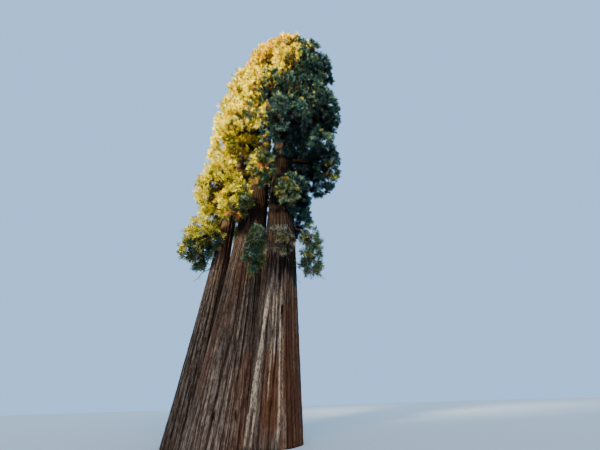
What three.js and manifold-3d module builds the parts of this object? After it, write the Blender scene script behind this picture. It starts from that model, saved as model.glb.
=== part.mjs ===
// Giant sequoia: three stems grown together at the foot, under one dense crown.
//
// Everything is worked out in metres of the real tree and scaled evenly to the model at the end.
// +Z is up and the ground is z = 0. The front of the tree faces -Y, with +X on its right.
// Azimuths are in degrees round the trunk: 0 is the front, 90 the right, 180 the back.

import * as THREE from "three";
import { mergeVertices } from "three/addons/utils/BufferGeometryUtils.js";
import Module from "manifold-3d";

// Size of the whole tree
const REAL_HEIGHT = 62; // metres from the ground to the topmost spray
const MODEL_HEIGHT = 40000; // millimetres
const SCALE = MODEL_HEIGHT / REAL_HEIGHT; // millimetres of model to a metre of tree
const CLEAR_MM = 0.4; // between neighbouring solids of the model
const CLEAR = CLEAR_MM / SCALE;

// Stems. The centre line is foot + lean z + bow z^2, and bow is along X only. The radius is
// girth (1 - z / tip)^power, with a flare at the root that dies away over FLARE_HEIGHT.
const STEMS = {
  right: {
    foot: [1.4, -0.2], lean: [0.012, 0.004], bow: -0.00045,
    girth: 1.44, flare: 0.08, power: 0.8, tip: 60, fork: 12.5, lobes: 5,
  },
  middle: {
    foot: [-1.2, 0.3], lean: [0.022, 0.008], bow: -0.00042,
    girth: 1.48, flare: 0.25, power: 0.9, tip: 56, fork: 12.5, lobes: 6,
  },
  left: {
    foot: [-3.1, 1.0], lean: [0.003, 0.01], bow: -0.0005,
    girth: 0.82, flare: 0.1, power: 0.8, tip: 34, fork: 8, lobes: 4,
  },
};
const FLARE_HEIGHT = 6;
const TIP_RADIUS = 0.06;
const LOBE_DEPTH = 0.035; // of the radius, at the ground
const LOBE_HEIGHT = 9; // metres over which the lobes die away
const RING_HEIGHTS = [0, 1.2, 4, 8, 12.5, 20, 28, 36, 44, 51, 56];
const RING_GAP = 0.1; // metres that a ring keeps from a stem's end
const STEM_SIDES = 16;

// Crown: a tall dome round a line that leans to the right as it rises
const CROWN = { low: 11, reach: 8.8, swell: 0.55, blunt: 3.6, axisX: 1.4, axisShift: 2.2, axisY: 0.2 };
const MASS_SHARES = { out: 0.37, around: 0.52 }; // radii of a mass, of the crown's reach at its height
const MASS_HALF_HEIGHT = 4.3;
const LOW_MASS_HALF_HEIGHT = 3.7;
const MASS_INSET = 0.93; // of a mass's radius outward, from the crown's outline to the mass's centre
const SHIFT = { height: 1.1, azimuth: 6, reach: 0.07 }; // seeded departures from the even places

// Levels of the crown. Each mass has its azimuth and its spread, which is its share of the crown's reach:
// the crown is slim on its front left and stands out furthest on its right.
const LEVELS = [
  { z: 18, boughs: true, masses: [[70, 0.78], [128, 1], [238, 1], [287, 1]] },
  { z: 24, boughs: true, masses: [[20, 1], [92, 1.1], [164, 1], [236, 1], [304, 0.86]] },
  { z: 30, boughs: true, masses: [[56, 1.03], [128, 1], [200, 1], [272, 0.92], [344, 0.94]] },
  { z: 36, boughs: false, masses: [[16, 1], [84, 1.05], [156, 1], [228, 1], [298, 0.88]] },
  { z: 42, boughs: false, masses: [[44, 1.06], [118, 1], [192, 1], [264, 0.88], [336, 0.84]] },
  { z: 47.5, boughs: false, masses: [[8, 1], [80, 1.05], [149, 1], [221, 1], [290, 0.95]] },
  { z: 53, boughs: false, masses: [[50, 1.05], [140, 1], [230, 0.9], [318, 0.8]] },
];
const TOP_MASS = { centre: [0.8, 0.1, 57.9], radii: [3.0, 3.0, 4.1], stemDepth: 2.2, leaderLift: 0.5 };

// Foliage that hangs low by the stems: where each mass is, and the bough or stem that it hangs on
const LOW_MASSES = [
  {
    name: "front_low", centre: [-0.4, -3.0, 9.9], radii: [1.0, 0.9, 2.4],
    stem: "middle", height: 13.4, bough: true,
  },
  {
    name: "left_low", centre: [-4.7, 0.3, 12.2], radii: [1.9, 1.9, 3.0],
    stem: "left", height: 13.4, bough: false,
  },
  {
    name: "right_low", centre: [3.9, -0.8, 11.4], radii: [1.3, 1.2, 3.2],
    stem: "right", height: 13.6, bough: false,
  },
  {
    name: "right_front", centre: [1.4, -2.6, 10.9], radii: [1.2, 0.9, 1.6],
    stem: "right", height: 11.7, bough: false,
  },
  {
    name: "left_front", centre: [-2.5, -2.0, 15.2], radii: [1.8, 1.3, 3.0],
    stem: "middle", height: 15.8, bough: false,
  },
  {
    name: "middle_front", centre: [-0.7, -3.1, 18.3], radii: [1.5, 1.1, 3.1],
    stem: "middle", height: 19.2, bough: true,
  },
  {
    name: "right_middle", centre: [1.7, -2.5, 16.2], radii: [1.5, 0.9, 2.0],
    stem: "right", height: 17.0, bough: false,
  },
];

// Boughs and the stems of the masses
const RISE = { low: -0.15, high: 0.6 }; // climb of a bough for each metre out, by height in the crown
const BOUGH_RADIUS = { root: 0.28, tip: 0.13 };
const HANG_RADIUS = { root: 0.14, tip: 0.09 };
const BOUGH_END = 0.58; // of a mass's radii, where its bough gives way to its own stem
const SHORTEST_BOUGH = 0.5; // metres out of the bark; a nearer mass stands on the trunk itself
const BOUGH_STEPS = 3;
const MASS_STEM_STEPS = 2;
const END_CLEARANCE = 0.8; // of CLEAR past a bough's tip, so that the mass's own stem stays whole
const ARCH = { out: 0.6, lift: 0.25 }; // a bough's control point: share of its span, metres above its root
const HANG_ARCH = { out: 0.85, lift: 0.5 };
const BOUGH_SIDES = 7;
const MASS_STEM_SIDES = 5;
const THINNEST_CARRIER = 0.15; // metres of radius below which a stem bears no bough

// Foliage
const CORE = { hollow: 0.6, tuft: 0.95 }; // of a mass's radii, between the tufts and at their tips
const TUFT_SHARE = 0.45; // of the core's corners that stand out as tufts
const LUMPS = 0.08; // seeded departure of every corner
const INNER_CORE = 0.72; // the core's reach on the trunk's side, of its reach on the outer side
const CELL_MARGIN = 0.03; // of a mass's radii, kept free towards its neighbours
const SHARE_STEP = 0.02; // by which a core's corner is drawn in until it is free
const LEAST_SHARE = 0.1;
const TWIGS = { large: 4, small: 3 };
const SMALL_MASS = 3.5; // metres of radius, up to which a mass has the smaller number of twigs
const TWIG_RADIUS = 0.11;
const OUTWARD = 0.5; // how far the twigs lean out of the crown
const REACHES = [0.98, 0.88, 0.78]; // of a mass's radii, tried in turn
const SPRAY_ROOT = 0.55; // of a twig's reach
const TWIG_END = 0.4; // of a spray's length, inside which its twig ends
const SPRAY_ANGLES = [0, 0.9]; // radians from the twig, in a plane of its own
const SIDE_SPRAY = 1.1; // length of a side spray, of the end spray's
const SPRAY_WIDTH = 0.85; // of a spray's length
const SPRAY_THICKNESS = 0.1;
const SPRAY_OUTLINE = [[1, 0], [0.68, 0.2], [0.5, 0.5], [0, 0], [0.5, -0.5], [0.68, -0.2]];
const SEED = 1907;

const UP = new THREE.Vector3(0, 0, 1);
const GOLDEN_ANGLE = Math.PI * (3 - Math.sqrt(5));

const wasm = await Module();
wasm.setup();

// A small generator, the same numbers for the same seed
function randomFrom(seed) {
  let state = seed >>> 0;
  return () => {
    state = (state + 0x6d2b79f5) >>> 0;
    let mixed = state;
    mixed = Math.imul(mixed ^ (mixed >>> 15), mixed | 1);
    mixed ^= mixed + Math.imul(mixed ^ (mixed >>> 7), mixed | 61);
    return ((mixed ^ (mixed >>> 14)) >>> 0) / 4294967296;
  };
}

// A closed geometry in metres of the tree as a solid in millimetres of the model
function solidOf(geometry) {
  const bare = geometry.clone();
  bare.deleteAttribute("normal");
  bare.deleteAttribute("uv");
  bare.scale(SCALE, SCALE, SCALE);
  const merged = mergeVertices(bare, 1e-3);
  const mesh = new wasm.Mesh({
    numProp: 3,
    vertProperties: new Float32Array(merged.attributes.position.array),
    triVerts: new Uint32Array(merged.index.array),
  });
  return new wasm.Manifold(mesh);
}

function geometryOf(solid) {
  const mesh = solid.getMesh();
  const geometry = new THREE.BufferGeometry();
  geometry.setAttribute("position", new THREE.BufferAttribute(mesh.vertProperties, mesh.numProp));
  geometry.setIndex(new THREE.BufferAttribute(mesh.triVerts, 1));
  return geometry;
}

const union = (solids) => solids.reduce((whole, solid) => whole.add(solid));

function largestBody(solid) {
  return solid.decompose().sort((a, b) => b.volume() - a.volume())[0];
}

// Moves every vertex of a geometry by a function of its place
function reshape(geometry, place) {
  const position = geometry.attributes.position;
  const vertex = new THREE.Vector3();
  for (let i = 0; i < position.count; i++) {
    vertex.fromBufferAttribute(position, i);
    const moved = place(vertex);
    position.setXYZ(i, moved.x, moved.y, moved.z);
  }
  return geometry;
}

// Stems

function stemRadius(stem, z) {
  return stem.girth * Math.max(1 - z / stem.tip, 0) ** stem.power + stem.flare * Math.exp(-z / FLARE_HEIGHT);
}

function stemCentre(stem, z) {
  const x = stem.foot[0] + stem.lean[0] * z + stem.bow * z * z;
  return new THREE.Vector3(x, stem.foot[1] + stem.lean[1] * z, z);
}

function stemTop(stem) {
  return stem.tip * (1 - (TIP_RADIUS / stem.girth) ** (1 / stem.power));
}

function stemHeights(stem, low, high) {
  return [low, ...RING_HEIGHTS.filter((z) => z > low + RING_GAP && z < high - RING_GAP), high];
}

function stemSolid(stem, low, high, extra = 0) {
  const heights = stemHeights(stem, low, high);
  const steps = heights.length - 1;
  const tube = new THREE.CylinderGeometry(1, 1, 1, STEM_SIDES, steps);
  return solidOf(
    reshape(tube, (v) => {
      const z = heights[Math.round((v.y + 0.5) * steps)];
      const turn = Math.atan2(-v.z, v.x);
      const lobes = LOBE_DEPTH * Math.exp(-z / LOBE_HEIGHT) * Math.cos(stem.lobes * turn);
      const radius = stemRadius(stem, z) * (1 + lobes) + extra;
      return stemCentre(stem, z).add(new THREE.Vector3(v.x * radius, -v.z * radius, 0));
    }),
  );
}

// Limbs

// A planar curve that leaves its root, arches and ends at a point
function limbCurve(root, end, arch) {
  const control = root.clone().lerp(end, arch.out);
  control.z = root.z + arch.lift;
  return new THREE.QuadraticBezierCurve3(root, control, end);
}

// A round limb along one stretch of such a curve, tapering evenly over the whole curve
function limbSolid(curve, from, to, radii, sides, steps, extra = 0) {
  const span = curve.v2.clone().sub(curve.v0);
  const across = new THREE.Vector3().crossVectors(span, UP).normalize();
  const tube = new THREE.CylinderGeometry(1, 1, 1, sides, steps);
  return solidOf(
    reshape(tube, (v) => {
      const at = THREE.MathUtils.lerp(from, to, v.y + 0.5);
      const radius = THREE.MathUtils.lerp(radii.root, radii.tip, at) + extra;
      const other = new THREE.Vector3().crossVectors(across, curve.getTangent(at));
      return curve
        .getPoint(at)
        .addScaledVector(across, v.x * radius)
        .addScaledVector(other, v.z * radius);
    }),
  );
}

// Crown

function crownShare(z) {
  return (z - CROWN.low) / (REAL_HEIGHT - CROWN.low);
}

function crownReach(z) {
  const share = crownShare(z);
  const swell = CROWN.swell + (1 - CROWN.swell) * Math.sin(Math.min(share / 0.5, 1) * (Math.PI / 2));
  return CROWN.reach * swell * Math.sqrt(1 - share ** CROWN.blunt);
}

function crownAxis(z) {
  const shift = CROWN.axisShift * (1 - crownShare(z)) ** 2;
  return new THREE.Vector3(CROWN.axisX - shift, CROWN.axisY, z);
}

// The right or middle stem, whichever is nearer to a point and still thick enough to bear it
function carrierOf(point) {
  const able = [STEMS.right, STEMS.middle].filter((stem) => stemRadius(stem, point.z) > THINNEST_CARRIER);
  const distance = (stem) => stemCentre(stem, point.z).distanceTo(point);
  return able.sort((a, b) => distance(a) - distance(b))[0];
}

function levelMasses(level, number) {
  return level.masses.map(([azimuth, spread], index) => {
    const random = randomFrom(SEED + 100 * number + index);
    const vary = (most) => (2 * random() - 1) * most;
    const z = level.z + vary(SHIFT.height);
    const turn = THREE.MathUtils.degToRad(azimuth + vary(SHIFT.azimuth));
    const reach = crownReach(z) * (1 + vary(SHIFT.reach)) * spread;
    const halfHeight = (number === 1 ? LOW_MASS_HALF_HEIGHT : MASS_HALF_HEIGHT) * Math.min(spread, 1);
    const radii = new THREE.Vector3(MASS_SHARES.out * reach, MASS_SHARES.around * reach, halfHeight);
    const outward = new THREE.Vector3(Math.sin(turn), -Math.cos(turn), 0);
    const out = reach - MASS_INSET * radii.x;
    const centre = crownAxis(z).addScaledVector(outward, out);
    const climb = out * THREE.MathUtils.lerp(RISE.low, RISE.high, crownShare(z));
    const root = centre.clone().setZ(z - climb);
    const stem = carrierOf(root);
    return {
      name: `${number}_${index + 1}`,
      centre,
      radii,
      outward,
      curve: limbCurve(stemCentre(stem, root.z), centre, ARCH),
      thickness: BOUGH_RADIUS,
      bark: stemRadius(stem, root.z),
      mayHaveBough: level.boughs,
      random,
    };
  });
}

function lowMass(low, index) {
  const centre = new THREE.Vector3(...low.centre);
  const root = stemCentre(STEMS[low.stem], low.height);
  const outward = new THREE.Vector3(1, 0, 0);
  return {
    name: low.name,
    centre,
    radii: new THREE.Vector3(...low.radii),
    outward,
    curve: limbCurve(root, centre, HANG_ARCH),
    thickness: HANG_RADIUS,
    bark: stemRadius(STEMS[low.stem], low.height),
    mayHaveBough: low.bough,
    random: randomFrom(SEED + 900 + index),
  };
}

// The mass over the tip of the right stem, which stands on that tip
function topMass() {
  const centre = new THREE.Vector3(...TOP_MASS.centre);
  const root = stemCentre(STEMS.right, stemTop(STEMS.right) - TOP_MASS.stemDepth);
  return {
    name: "top",
    centre,
    radii: new THREE.Vector3(...TOP_MASS.radii),
    outward: new THREE.Vector3(1, 0, 0),
    curve: new THREE.QuadraticBezierCurve3(root, root.clone().lerp(centre, 0.5), centre),
    thickness: HANG_RADIUS,
    bark: TIP_RADIUS,
    mayHaveBough: false,
    random: randomFrom(SEED + 950),
  };
}

// A place in a mass, from its own axes: outward, around and up, each in the mass's radii
function placeIn(mass, local) {
  const around = new THREE.Vector3().crossVectors(UP, mass.outward);
  const scaled = local.clone().multiply(mass.radii);
  return mass.centre
    .clone()
    .addScaledVector(mass.outward, scaled.x)
    .addScaledVector(around, scaled.y)
    .addScaledVector(UP, scaled.z);
}

// How far a point is from a mass's centre, in that mass's radii
function within(mass, point) {
  const around = new THREE.Vector3().crossVectors(UP, mass.outward);
  const span = point.clone().sub(mass.centre);
  return new THREE.Vector3(span.dot(mass.outward), span.dot(around), span.z).divide(mass.radii).length();
}

// Whether a point is in a mass's own space: inside it, and nearer to it than to any other mass
function ownSpace(mass, masses, point) {
  const here = within(mass, point);
  return here <= 1 && masses.every((other) => other === mass || here <= within(other, point) - CELL_MARGIN);
}

// Where along its curve a mass's bough reaches the mass
function boughEnd(mass) {
  let [outside, inside] = [0, 1];
  for (let step = 0; step < 30; step++) {
    const middle = (outside + inside) / 2;
    if (within(mass, mass.curve.getPoint(middle)) > BOUGH_END) outside = middle;
    else inside = middle;
  }
  return inside;
}

function hasBough(mass) {
  const bare = boughEnd(mass) * mass.curve.getLength() - mass.bark;
  return mass.mayHaveBough && bare > SHORTEST_BOUGH;
}

// Foliage

// The furthest point along a ray out of a mass's centre that stays in the mass's own space
function freePoint(mass, masses, direction, most) {
  const point = (share) => placeIn(mass, direction.clone().multiplyScalar(share));
  let share = most;
  while (share > LEAST_SHARE && !ownSpace(mass, masses, point(share))) share -= SHARE_STEP;
  return point(share);
}

// The dense inside of a mass
function coreSolid(mass, masses) {
  const ball = new THREE.IcosahedronGeometry(1, 1);
  ball.deleteAttribute("normal");
  ball.deleteAttribute("uv");
  return solidOf(
    reshape(mergeVertices(ball), (v) => {
      const direction = v.clone().normalize();
      const side = THREE.MathUtils.lerp(INNER_CORE, 1, (1 + direction.x) / 2);
      const even = mass.random() < TUFT_SHARE ? CORE.tuft : CORE.hollow;
      return freePoint(mass, masses, direction, side * even * (1 - mass.random() * LUMPS));
    }),
  );
}

// A three-sided twig from a thick root to a point
function twigGeometry(root, tip) {
  const span = tip.clone().sub(root);
  const twig = new THREE.ConeGeometry(TWIG_RADIUS, span.length(), 3);
  twig.translate(0, span.length() / 2, 0);
  const along = new THREE.Vector3(0, 1, 0);
  twig.applyQuaternion(new THREE.Quaternion().setFromUnitVectors(along, span.normalize()));
  return twig.translate(root.x, root.y, root.z);
}

// A spray of needles as a toothed blade: a flat sphere whose rim is moved to the outline
function sprayGeometry(root, direction, flat, length) {
  const across = new THREE.Vector3().crossVectors(direction, flat);
  const corners = SPRAY_OUTLINE.length;
  const blade = new THREE.SphereGeometry(1, corners, 2);
  return reshape(blade, (v) => {
    const corner = Math.round((Math.atan2(v.z, v.x) / (2 * Math.PI)) * corners + corners) % corners;
    const onRim = Math.abs(v.y) < 0.5;
    const [along, aside] = onRim ? SPRAY_OUTLINE[corner] : [0.5, 0];
    const thick = onRim ? 0 : Math.sign(v.y) * 0.5 * SPRAY_THICKNESS;
    return root
      .clone()
      .addScaledVector(direction, along * length)
      .addScaledVector(across, aside * SPRAY_WIDTH * length)
      .addScaledVector(flat, thick * length);
  });
}

// Directions of a mass's twigs: an even spiral over the sphere, drawn out of the crown
function twigDirections(mass, count) {
  const start = mass.random() * 2 * Math.PI;
  return Array.from({ length: count }, (_, i) => {
    const height = 1 - (2 * i + 1) / count;
    const flat = Math.sqrt(1 - height * height);
    const turn = start + i * GOLDEN_ANGLE;
    return new THREE.Vector3(flat * Math.cos(turn) + OUTWARD, flat * Math.sin(turn), height).normalize();
  });
}

// One twig with its end spray and its side sprays, or nothing where they don't fit
function twigSolids(mass, masses, direction) {
  const turn = mass.random() * Math.PI;
  const ends = REACHES.map((share) => placeIn(mass, direction.clone().multiplyScalar(share)));
  const end = ends.find((point) => ownSpace(mass, masses, point));
  if (!end) return [];
  const along = end.clone().sub(mass.centre);
  const span = along.length();
  along.normalize();
  const root = mass.centre.clone().addScaledVector(along, span * SPRAY_ROOT);
  const length = span * (1 - SPRAY_ROOT);
  const side = new THREE.Vector3().crossVectors(along, UP);
  if (side.length() < 0.1) side.set(1, 0, 0);
  side.normalize().applyAxisAngle(along, turn);
  const solids = [solidOf(twigGeometry(mass.centre, root.clone().addScaledVector(along, length * TWIG_END)))];
  for (const angle of SPRAY_ANGLES) {
    const heading = along.clone().multiplyScalar(Math.cos(angle)).addScaledVector(side, Math.sin(angle));
    const flat = new THREE.Vector3().crossVectors(side, along).normalize();
    const size = angle === 0 ? length : length * SIDE_SPRAY;
    const geometry = sprayGeometry(root, heading, flat, size);
    if (sprayFits(mass, masses, geometry)) solids.push(solidOf(geometry));
  }
  return solids;
}

function sprayFits(mass, masses, geometry) {
  const position = geometry.attributes.position;
  const vertex = new THREE.Vector3();
  for (let i = 0; i < position.count; i++) {
    vertex.fromBufferAttribute(position, i);
    if (!ownSpace(mass, masses, vertex)) return false;
  }
  return true;
}

// A spray that stands straight up from the top mass to the full height
function leaderSolids(mass) {
  const root = mass.centre.clone().addScaledVector(UP, TOP_MASS.leaderLift);
  const length = REAL_HEIGHT - root.z;
  return [
    solidOf(twigGeometry(mass.centre, root.clone().addScaledVector(UP, length / 2))),
    solidOf(sprayGeometry(root, UP, new THREE.Vector3(0, 1, 0), length)),
  ];
}

// A bough from inside the trunk to its mass
function boughSolid(mass, extra = 0) {
  const end = boughEnd(mass) + (END_CLEARANCE * extra) / mass.curve.getLength();
  return limbSolid(mass.curve, 0, end, mass.thickness, BOUGH_SIDES, BOUGH_STEPS, extra);
}

// A mass's own stem, from its bough's tip or from inside the trunk
function massStemSolid(mass, extra = 0) {
  const gap = CLEAR / mass.curve.getLength();
  const start = hasBough(mass) ? boughEnd(mass) + gap : 0;
  return limbSolid(mass.curve, start, 1, mass.thickness, MASS_STEM_SIDES, MASS_STEM_STEPS, extra);
}

// A mass, cut clear of the trunk, of every bough and of the stems of the other masses
function massSolid(mass, masses, limbs) {
  const count = mass.radii.y > SMALL_MASS ? TWIGS.large : TWIGS.small;
  const solids = [
    massStemSolid(mass),
    coreSolid(mass, masses),
    ...twigDirections(mass, count).flatMap((direction) => twigSolids(mass, masses, direction)),
  ];
  if (mass.name === "top") solids.push(...leaderSolids(mass));
  const otherStems = masses.filter((other) => other !== mass).map((other) => massStemSolid(other, CLEAR));
  return largestBody(union(solids).subtract(limbs).subtract(union(otherStems)));
}

// Materials

function barkMaterial() {
  const color = new THREE.Color(0x7b5a49);
  return new THREE.MeshStandardMaterial({ color, roughness: 0.95, metalness: 0, flatShading: true });
}

// Foliage is golden on the left, where the low sun reaches it, and deep green on the right
function foliageMaterial(mass) {
  const golden = THREE.MathUtils.clamp(0.5 - mass.centre.x / 8, 0, 1);
  const color = new THREE.Color(0x2f4a2c).lerp(new THREE.Color(0xb59a3a), golden);
  return new THREE.MeshStandardMaterial({ color, roughness: 0.8, metalness: 0, flatShading: true });
}

// Assembly

const tree = new THREE.Group();

function addNode(name, solid, material) {
  const mesh = new THREE.Mesh(geometryOf(solid), material);
  mesh.name = name;
  tree.add(mesh);
}

const stems = Object.entries(STEMS);
const base = union(stems.map(([, stem]) => stemSolid(stem, 0, stem.fork)));
addNode("trunk_base", base, barkMaterial());
for (const [name, stem] of stems) {
  addNode(`${name}_stem`, stemSolid(stem, stem.fork + CLEAR, stemTop(stem)), barkMaterial());
}

const masses = [
  ...LOW_MASSES.map(lowMass),
  ...LEVELS.flatMap((level, index) => levelMasses(level, index + 1)),
  topMass(),
];
const wood = union(stems.map(([, stem]) => stemSolid(stem, 0, stemTop(stem) + CLEAR, CLEAR)));
const limbs = [wood];
for (const mass of masses.filter(hasBough)) {
  addNode(`bough_${mass.name}`, largestBody(boughSolid(mass).subtract(wood)), barkMaterial());
  limbs.push(boughSolid(mass, CLEAR));
}
const allLimbs = union(limbs);
for (const mass of masses) {
  addNode(`foliage_${mass.name}`, massSolid(mass, masses, allLimbs), foliageMaterial(mass));
}

export default tree;
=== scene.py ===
"""Giant sequoia clump: bark, boughs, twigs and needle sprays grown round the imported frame.

The tree is laid out in metres of the real tree, by the rule that its solids follow, and every piece is
brought to the model's size when its mesh is made. +Z is up, the ground is z = 0, the front faces -Y and the
right is +X.
"""

import logging
import math
from collections.abc import Callable, Iterator
from dataclasses import dataclass, field
from enum import Enum

import bmesh
import bpy
import numpy as np
from mathutils import Matrix, Vector


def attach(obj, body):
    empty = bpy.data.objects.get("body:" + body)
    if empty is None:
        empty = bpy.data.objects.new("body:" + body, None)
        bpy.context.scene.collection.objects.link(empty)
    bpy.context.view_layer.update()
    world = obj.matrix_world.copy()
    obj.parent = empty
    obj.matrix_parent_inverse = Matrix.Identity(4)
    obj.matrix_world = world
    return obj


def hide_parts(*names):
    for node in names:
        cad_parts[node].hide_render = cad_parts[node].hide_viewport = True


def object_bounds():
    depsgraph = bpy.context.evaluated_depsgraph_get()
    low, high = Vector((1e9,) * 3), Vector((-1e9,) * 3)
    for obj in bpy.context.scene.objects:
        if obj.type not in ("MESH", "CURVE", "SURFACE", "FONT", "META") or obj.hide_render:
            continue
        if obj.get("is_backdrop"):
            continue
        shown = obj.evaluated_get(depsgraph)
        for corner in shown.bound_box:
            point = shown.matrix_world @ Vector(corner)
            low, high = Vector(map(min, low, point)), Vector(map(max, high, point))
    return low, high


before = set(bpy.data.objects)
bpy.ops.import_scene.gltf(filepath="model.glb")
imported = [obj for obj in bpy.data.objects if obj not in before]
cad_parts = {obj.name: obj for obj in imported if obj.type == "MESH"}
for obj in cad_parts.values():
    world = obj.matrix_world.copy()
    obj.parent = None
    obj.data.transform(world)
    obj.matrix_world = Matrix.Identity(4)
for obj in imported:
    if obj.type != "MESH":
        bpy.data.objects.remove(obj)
CAD_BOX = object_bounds()

REAL_HEIGHT = 62.0  # metres from the ground to the topmost spray
SCALE = CAD_BOX[1].z / REAL_HEIGHT  # metres of model to a metre of the real tree
SEED = 1907
UP = np.array([0.0, 0.0, 1.0])
GOLDEN_ANGLE = math.pi * (3 - math.sqrt(5))
BODY = "root"

log = logging.getLogger("sequoia")


# Numbers and vectors


def seeded(seed: int) -> Iterator[float]:
    """The small generator that the solids' layout draws from.

    Args:
        seed: The whole number that it starts from.

    Returns:
        An endless run of numbers from 0 to 1, the same for the same seed.
    """
    mask, step = 0xFFFFFFFF, 0x6D2B79F5
    state = seed & mask
    while True:
        state = (state + step) & mask
        mixed = ((state ^ (state >> 15)) * (state | 1)) & mask
        mixed ^= (mixed + (((mixed ^ (mixed >> 7)) * (mixed | 61)) & mask)) & mask
        yield (mixed ^ (mixed >> 14)) / 2**32


def mix(low: np.ndarray | float, high: np.ndarray | float, share: np.ndarray | float) -> np.ndarray | float:
    """The value a share of the way from low to high."""
    return low + (high - low) * share


def smooth(values: np.ndarray, low: float, high: float) -> np.ndarray:
    """A soft step.

    Args:
        values: Where to read it.
        low: The value at which it leaves 0.
        high: The value at which it reaches 1.

    Returns:
        Numbers from 0 to 1.
    """
    share = np.clip((values - low) / (high - low), 0, 1)
    return share * share * (3 - 2 * share)


def window(values: np.ndarray, rise: tuple[float, float], fall: tuple[float, float]) -> np.ndarray:
    """A soft step up and a soft step down again.

    Args:
        values: Where to read it.
        rise: The values between which it goes from 0 to 1.
        fall: The values between which it goes back to 0.

    Returns:
        Numbers from 0 to 1.
    """
    return smooth(values, *rise) * (1 - smooth(values, *fall))


def unit(vectors: np.ndarray) -> np.ndarray:
    """The same vectors, each one metre long."""
    return vectors / np.maximum(np.linalg.norm(vectors, axis=-1, keepdims=True), 1e-9)


def beside(vectors: np.ndarray) -> np.ndarray:
    """Unit vectors square to the ones given, level where that can be."""
    steep = np.abs(vectors[..., 2:3]) > 0.95
    return unit(np.cross(vectors, np.where(steep, np.array([0.0, 1.0, 0.0]), UP)))


def ball_spiral(count: int, start: float) -> np.ndarray:
    """Even directions over a sphere.

    Args:
        count: How many.
        start: The turn of the first one, in radians.

    Returns:
        One unit vector a row.
    """
    index = np.arange(count)
    height = 1 - (2 * index + 1) / count
    flat = np.sqrt(1 - height**2)
    turn = start + index * GOLDEN_ANGLE
    return np.stack([flat * np.cos(turn), flat * np.sin(turn), height], axis=-1)


@dataclass(frozen=True)
class RoundNoise:
    """Seeded noise that closes on itself round a stem: a lattice of values, smoothly blended.

    Attributes:
        seed: Picks the values.
        around: Cells in a full turn.
        rise: Height of a cell, in metres.
        rows: Cells that the lattice is tall.
    """

    seed: int
    around: int
    rise: float
    rows: int = 80

    def at(self, turn: np.ndarray, height: np.ndarray) -> np.ndarray:
        """The noise at places on a stem.

        Args:
            turn: Share of a full turn.
            height: Metres above the ground.

        Returns:
            Numbers from 0 to 1.
        """
        table = np.random.default_rng(self.seed).random((self.rows + 2, self.around))
        across = (turn % 1.0) * self.around
        upward = np.clip(height / self.rise, 0, self.rows)
        column, row = np.floor(across).astype(int), np.floor(upward).astype(int)
        share_across = smooth(across - column, 0, 1)
        share_up = smooth(upward - row, 0, 1)
        column, following = column % self.around, (column + 1) % self.around
        low = mix(table[row, column], table[row, following], share_across)
        high = mix(table[row + 1, column], table[row + 1, following], share_across)
        return mix(low, high, share_up)


@dataclass(frozen=True)
class Clumps:
    """Soft lumps all through the crown, where tufts crowd, and the pockets between them.

    Attributes:
        seed: Picks the waves that are added up.
        size: Metres from lump to lump.
        waves: How many waves.
    """

    seed: int
    size: float
    waves: int = 9

    LENGTHS = (0.7, 1.4)  # shortest and longest wave, of the size
    FULL = 1.3  # the waves' sum at which a place is full, and with a minus sign empty

    def at(self, points: np.ndarray) -> np.ndarray:
        """How full places are.

        Args:
            points: Points, in the last axis.

        Returns:
            Numbers from 0 in a pocket to 1 in a lump.
        """
        random = np.random.default_rng(self.seed)
        ways = unit(random.normal(0, 1, (self.waves, 3)))
        lengths = self.size * random.uniform(*self.LENGTHS, (self.waves, 1))
        phase = points @ (ways * 2 * math.pi / lengths).T + random.uniform(0, 2 * math.pi, self.waves)
        return smooth(np.cos(phase).sum(axis=-1) / math.sqrt(self.waves / 2), -self.FULL, self.FULL)


# Layout, by the same rule and sizes as the solids


@dataclass(frozen=True)
class Stem:
    """One stem: its centre line is foot + lean z + bow z^2, with bow along X only.

    Attributes:
        name: The stem's place in the clump.
        foot: Where the centre line meets the ground.
        lean: Metres along X and Y to a metre up.
        bow: Curve of the centre line along X.
        girth: Radius at the ground without the flare.
        flare: Radius that the root flare adds at the ground.
        power: How the radius falls off towards the tip.
        tip: Height at which the taper would close.
        fork: Height of the joint between the fused foot and the free stem.
        lobes: Broad ribs round the foot.
    """

    name: str
    foot: tuple[float, float]
    lean: tuple[float, float]
    bow: float
    girth: float
    flare: float
    power: float
    tip: float
    fork: float
    lobes: int

    FLARE_HEIGHT = 6.0
    TIP_RADIUS = 0.06
    LOBE_DEPTH = 0.035
    LOBE_HEIGHT = 9.0

    def radius(self, height: np.ndarray | float) -> np.ndarray | float:
        """Radius at a height."""
        taper = np.maximum(1 - np.asarray(height) / self.tip, 0) ** self.power
        return self.girth * taper + self.flare * np.exp(-np.asarray(height) / self.FLARE_HEIGHT)

    def centre(self, height: np.ndarray | float) -> np.ndarray:
        """Centre line at a height, one point a row."""
        z = np.asarray(height, float)
        x = self.foot[0] + self.lean[0] * z + self.bow * z * z
        return np.stack([x, self.foot[1] + self.lean[1] * z, z], axis=-1)

    def top(self) -> float:
        """Height at which the stem ends."""
        return self.tip * (1 - (self.TIP_RADIUS / self.girth) ** (1 / self.power))

    def lobe(self, turn: np.ndarray, height: np.ndarray) -> np.ndarray:
        """Share of the radius that the broad ribs add."""
        return self.LOBE_DEPTH * np.exp(-height / self.LOBE_HEIGHT) * np.cos(self.lobes * turn)


RIGHT = Stem("right", (1.4, -0.2), (0.012, 0.004), -0.00045, 1.44, 0.08, 0.8, 60, 12.5, 5)
MIDDLE = Stem("middle", (-1.2, 0.3), (0.022, 0.008), -0.00042, 1.48, 0.25, 0.9, 56, 12.5, 6)
LEFT = Stem("left", (-3.1, 1.0), (0.003, 0.01), -0.0005, 0.82, 0.1, 0.8, 34, 8, 4)
STEMS = (RIGHT, MIDDLE, LEFT)


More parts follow.
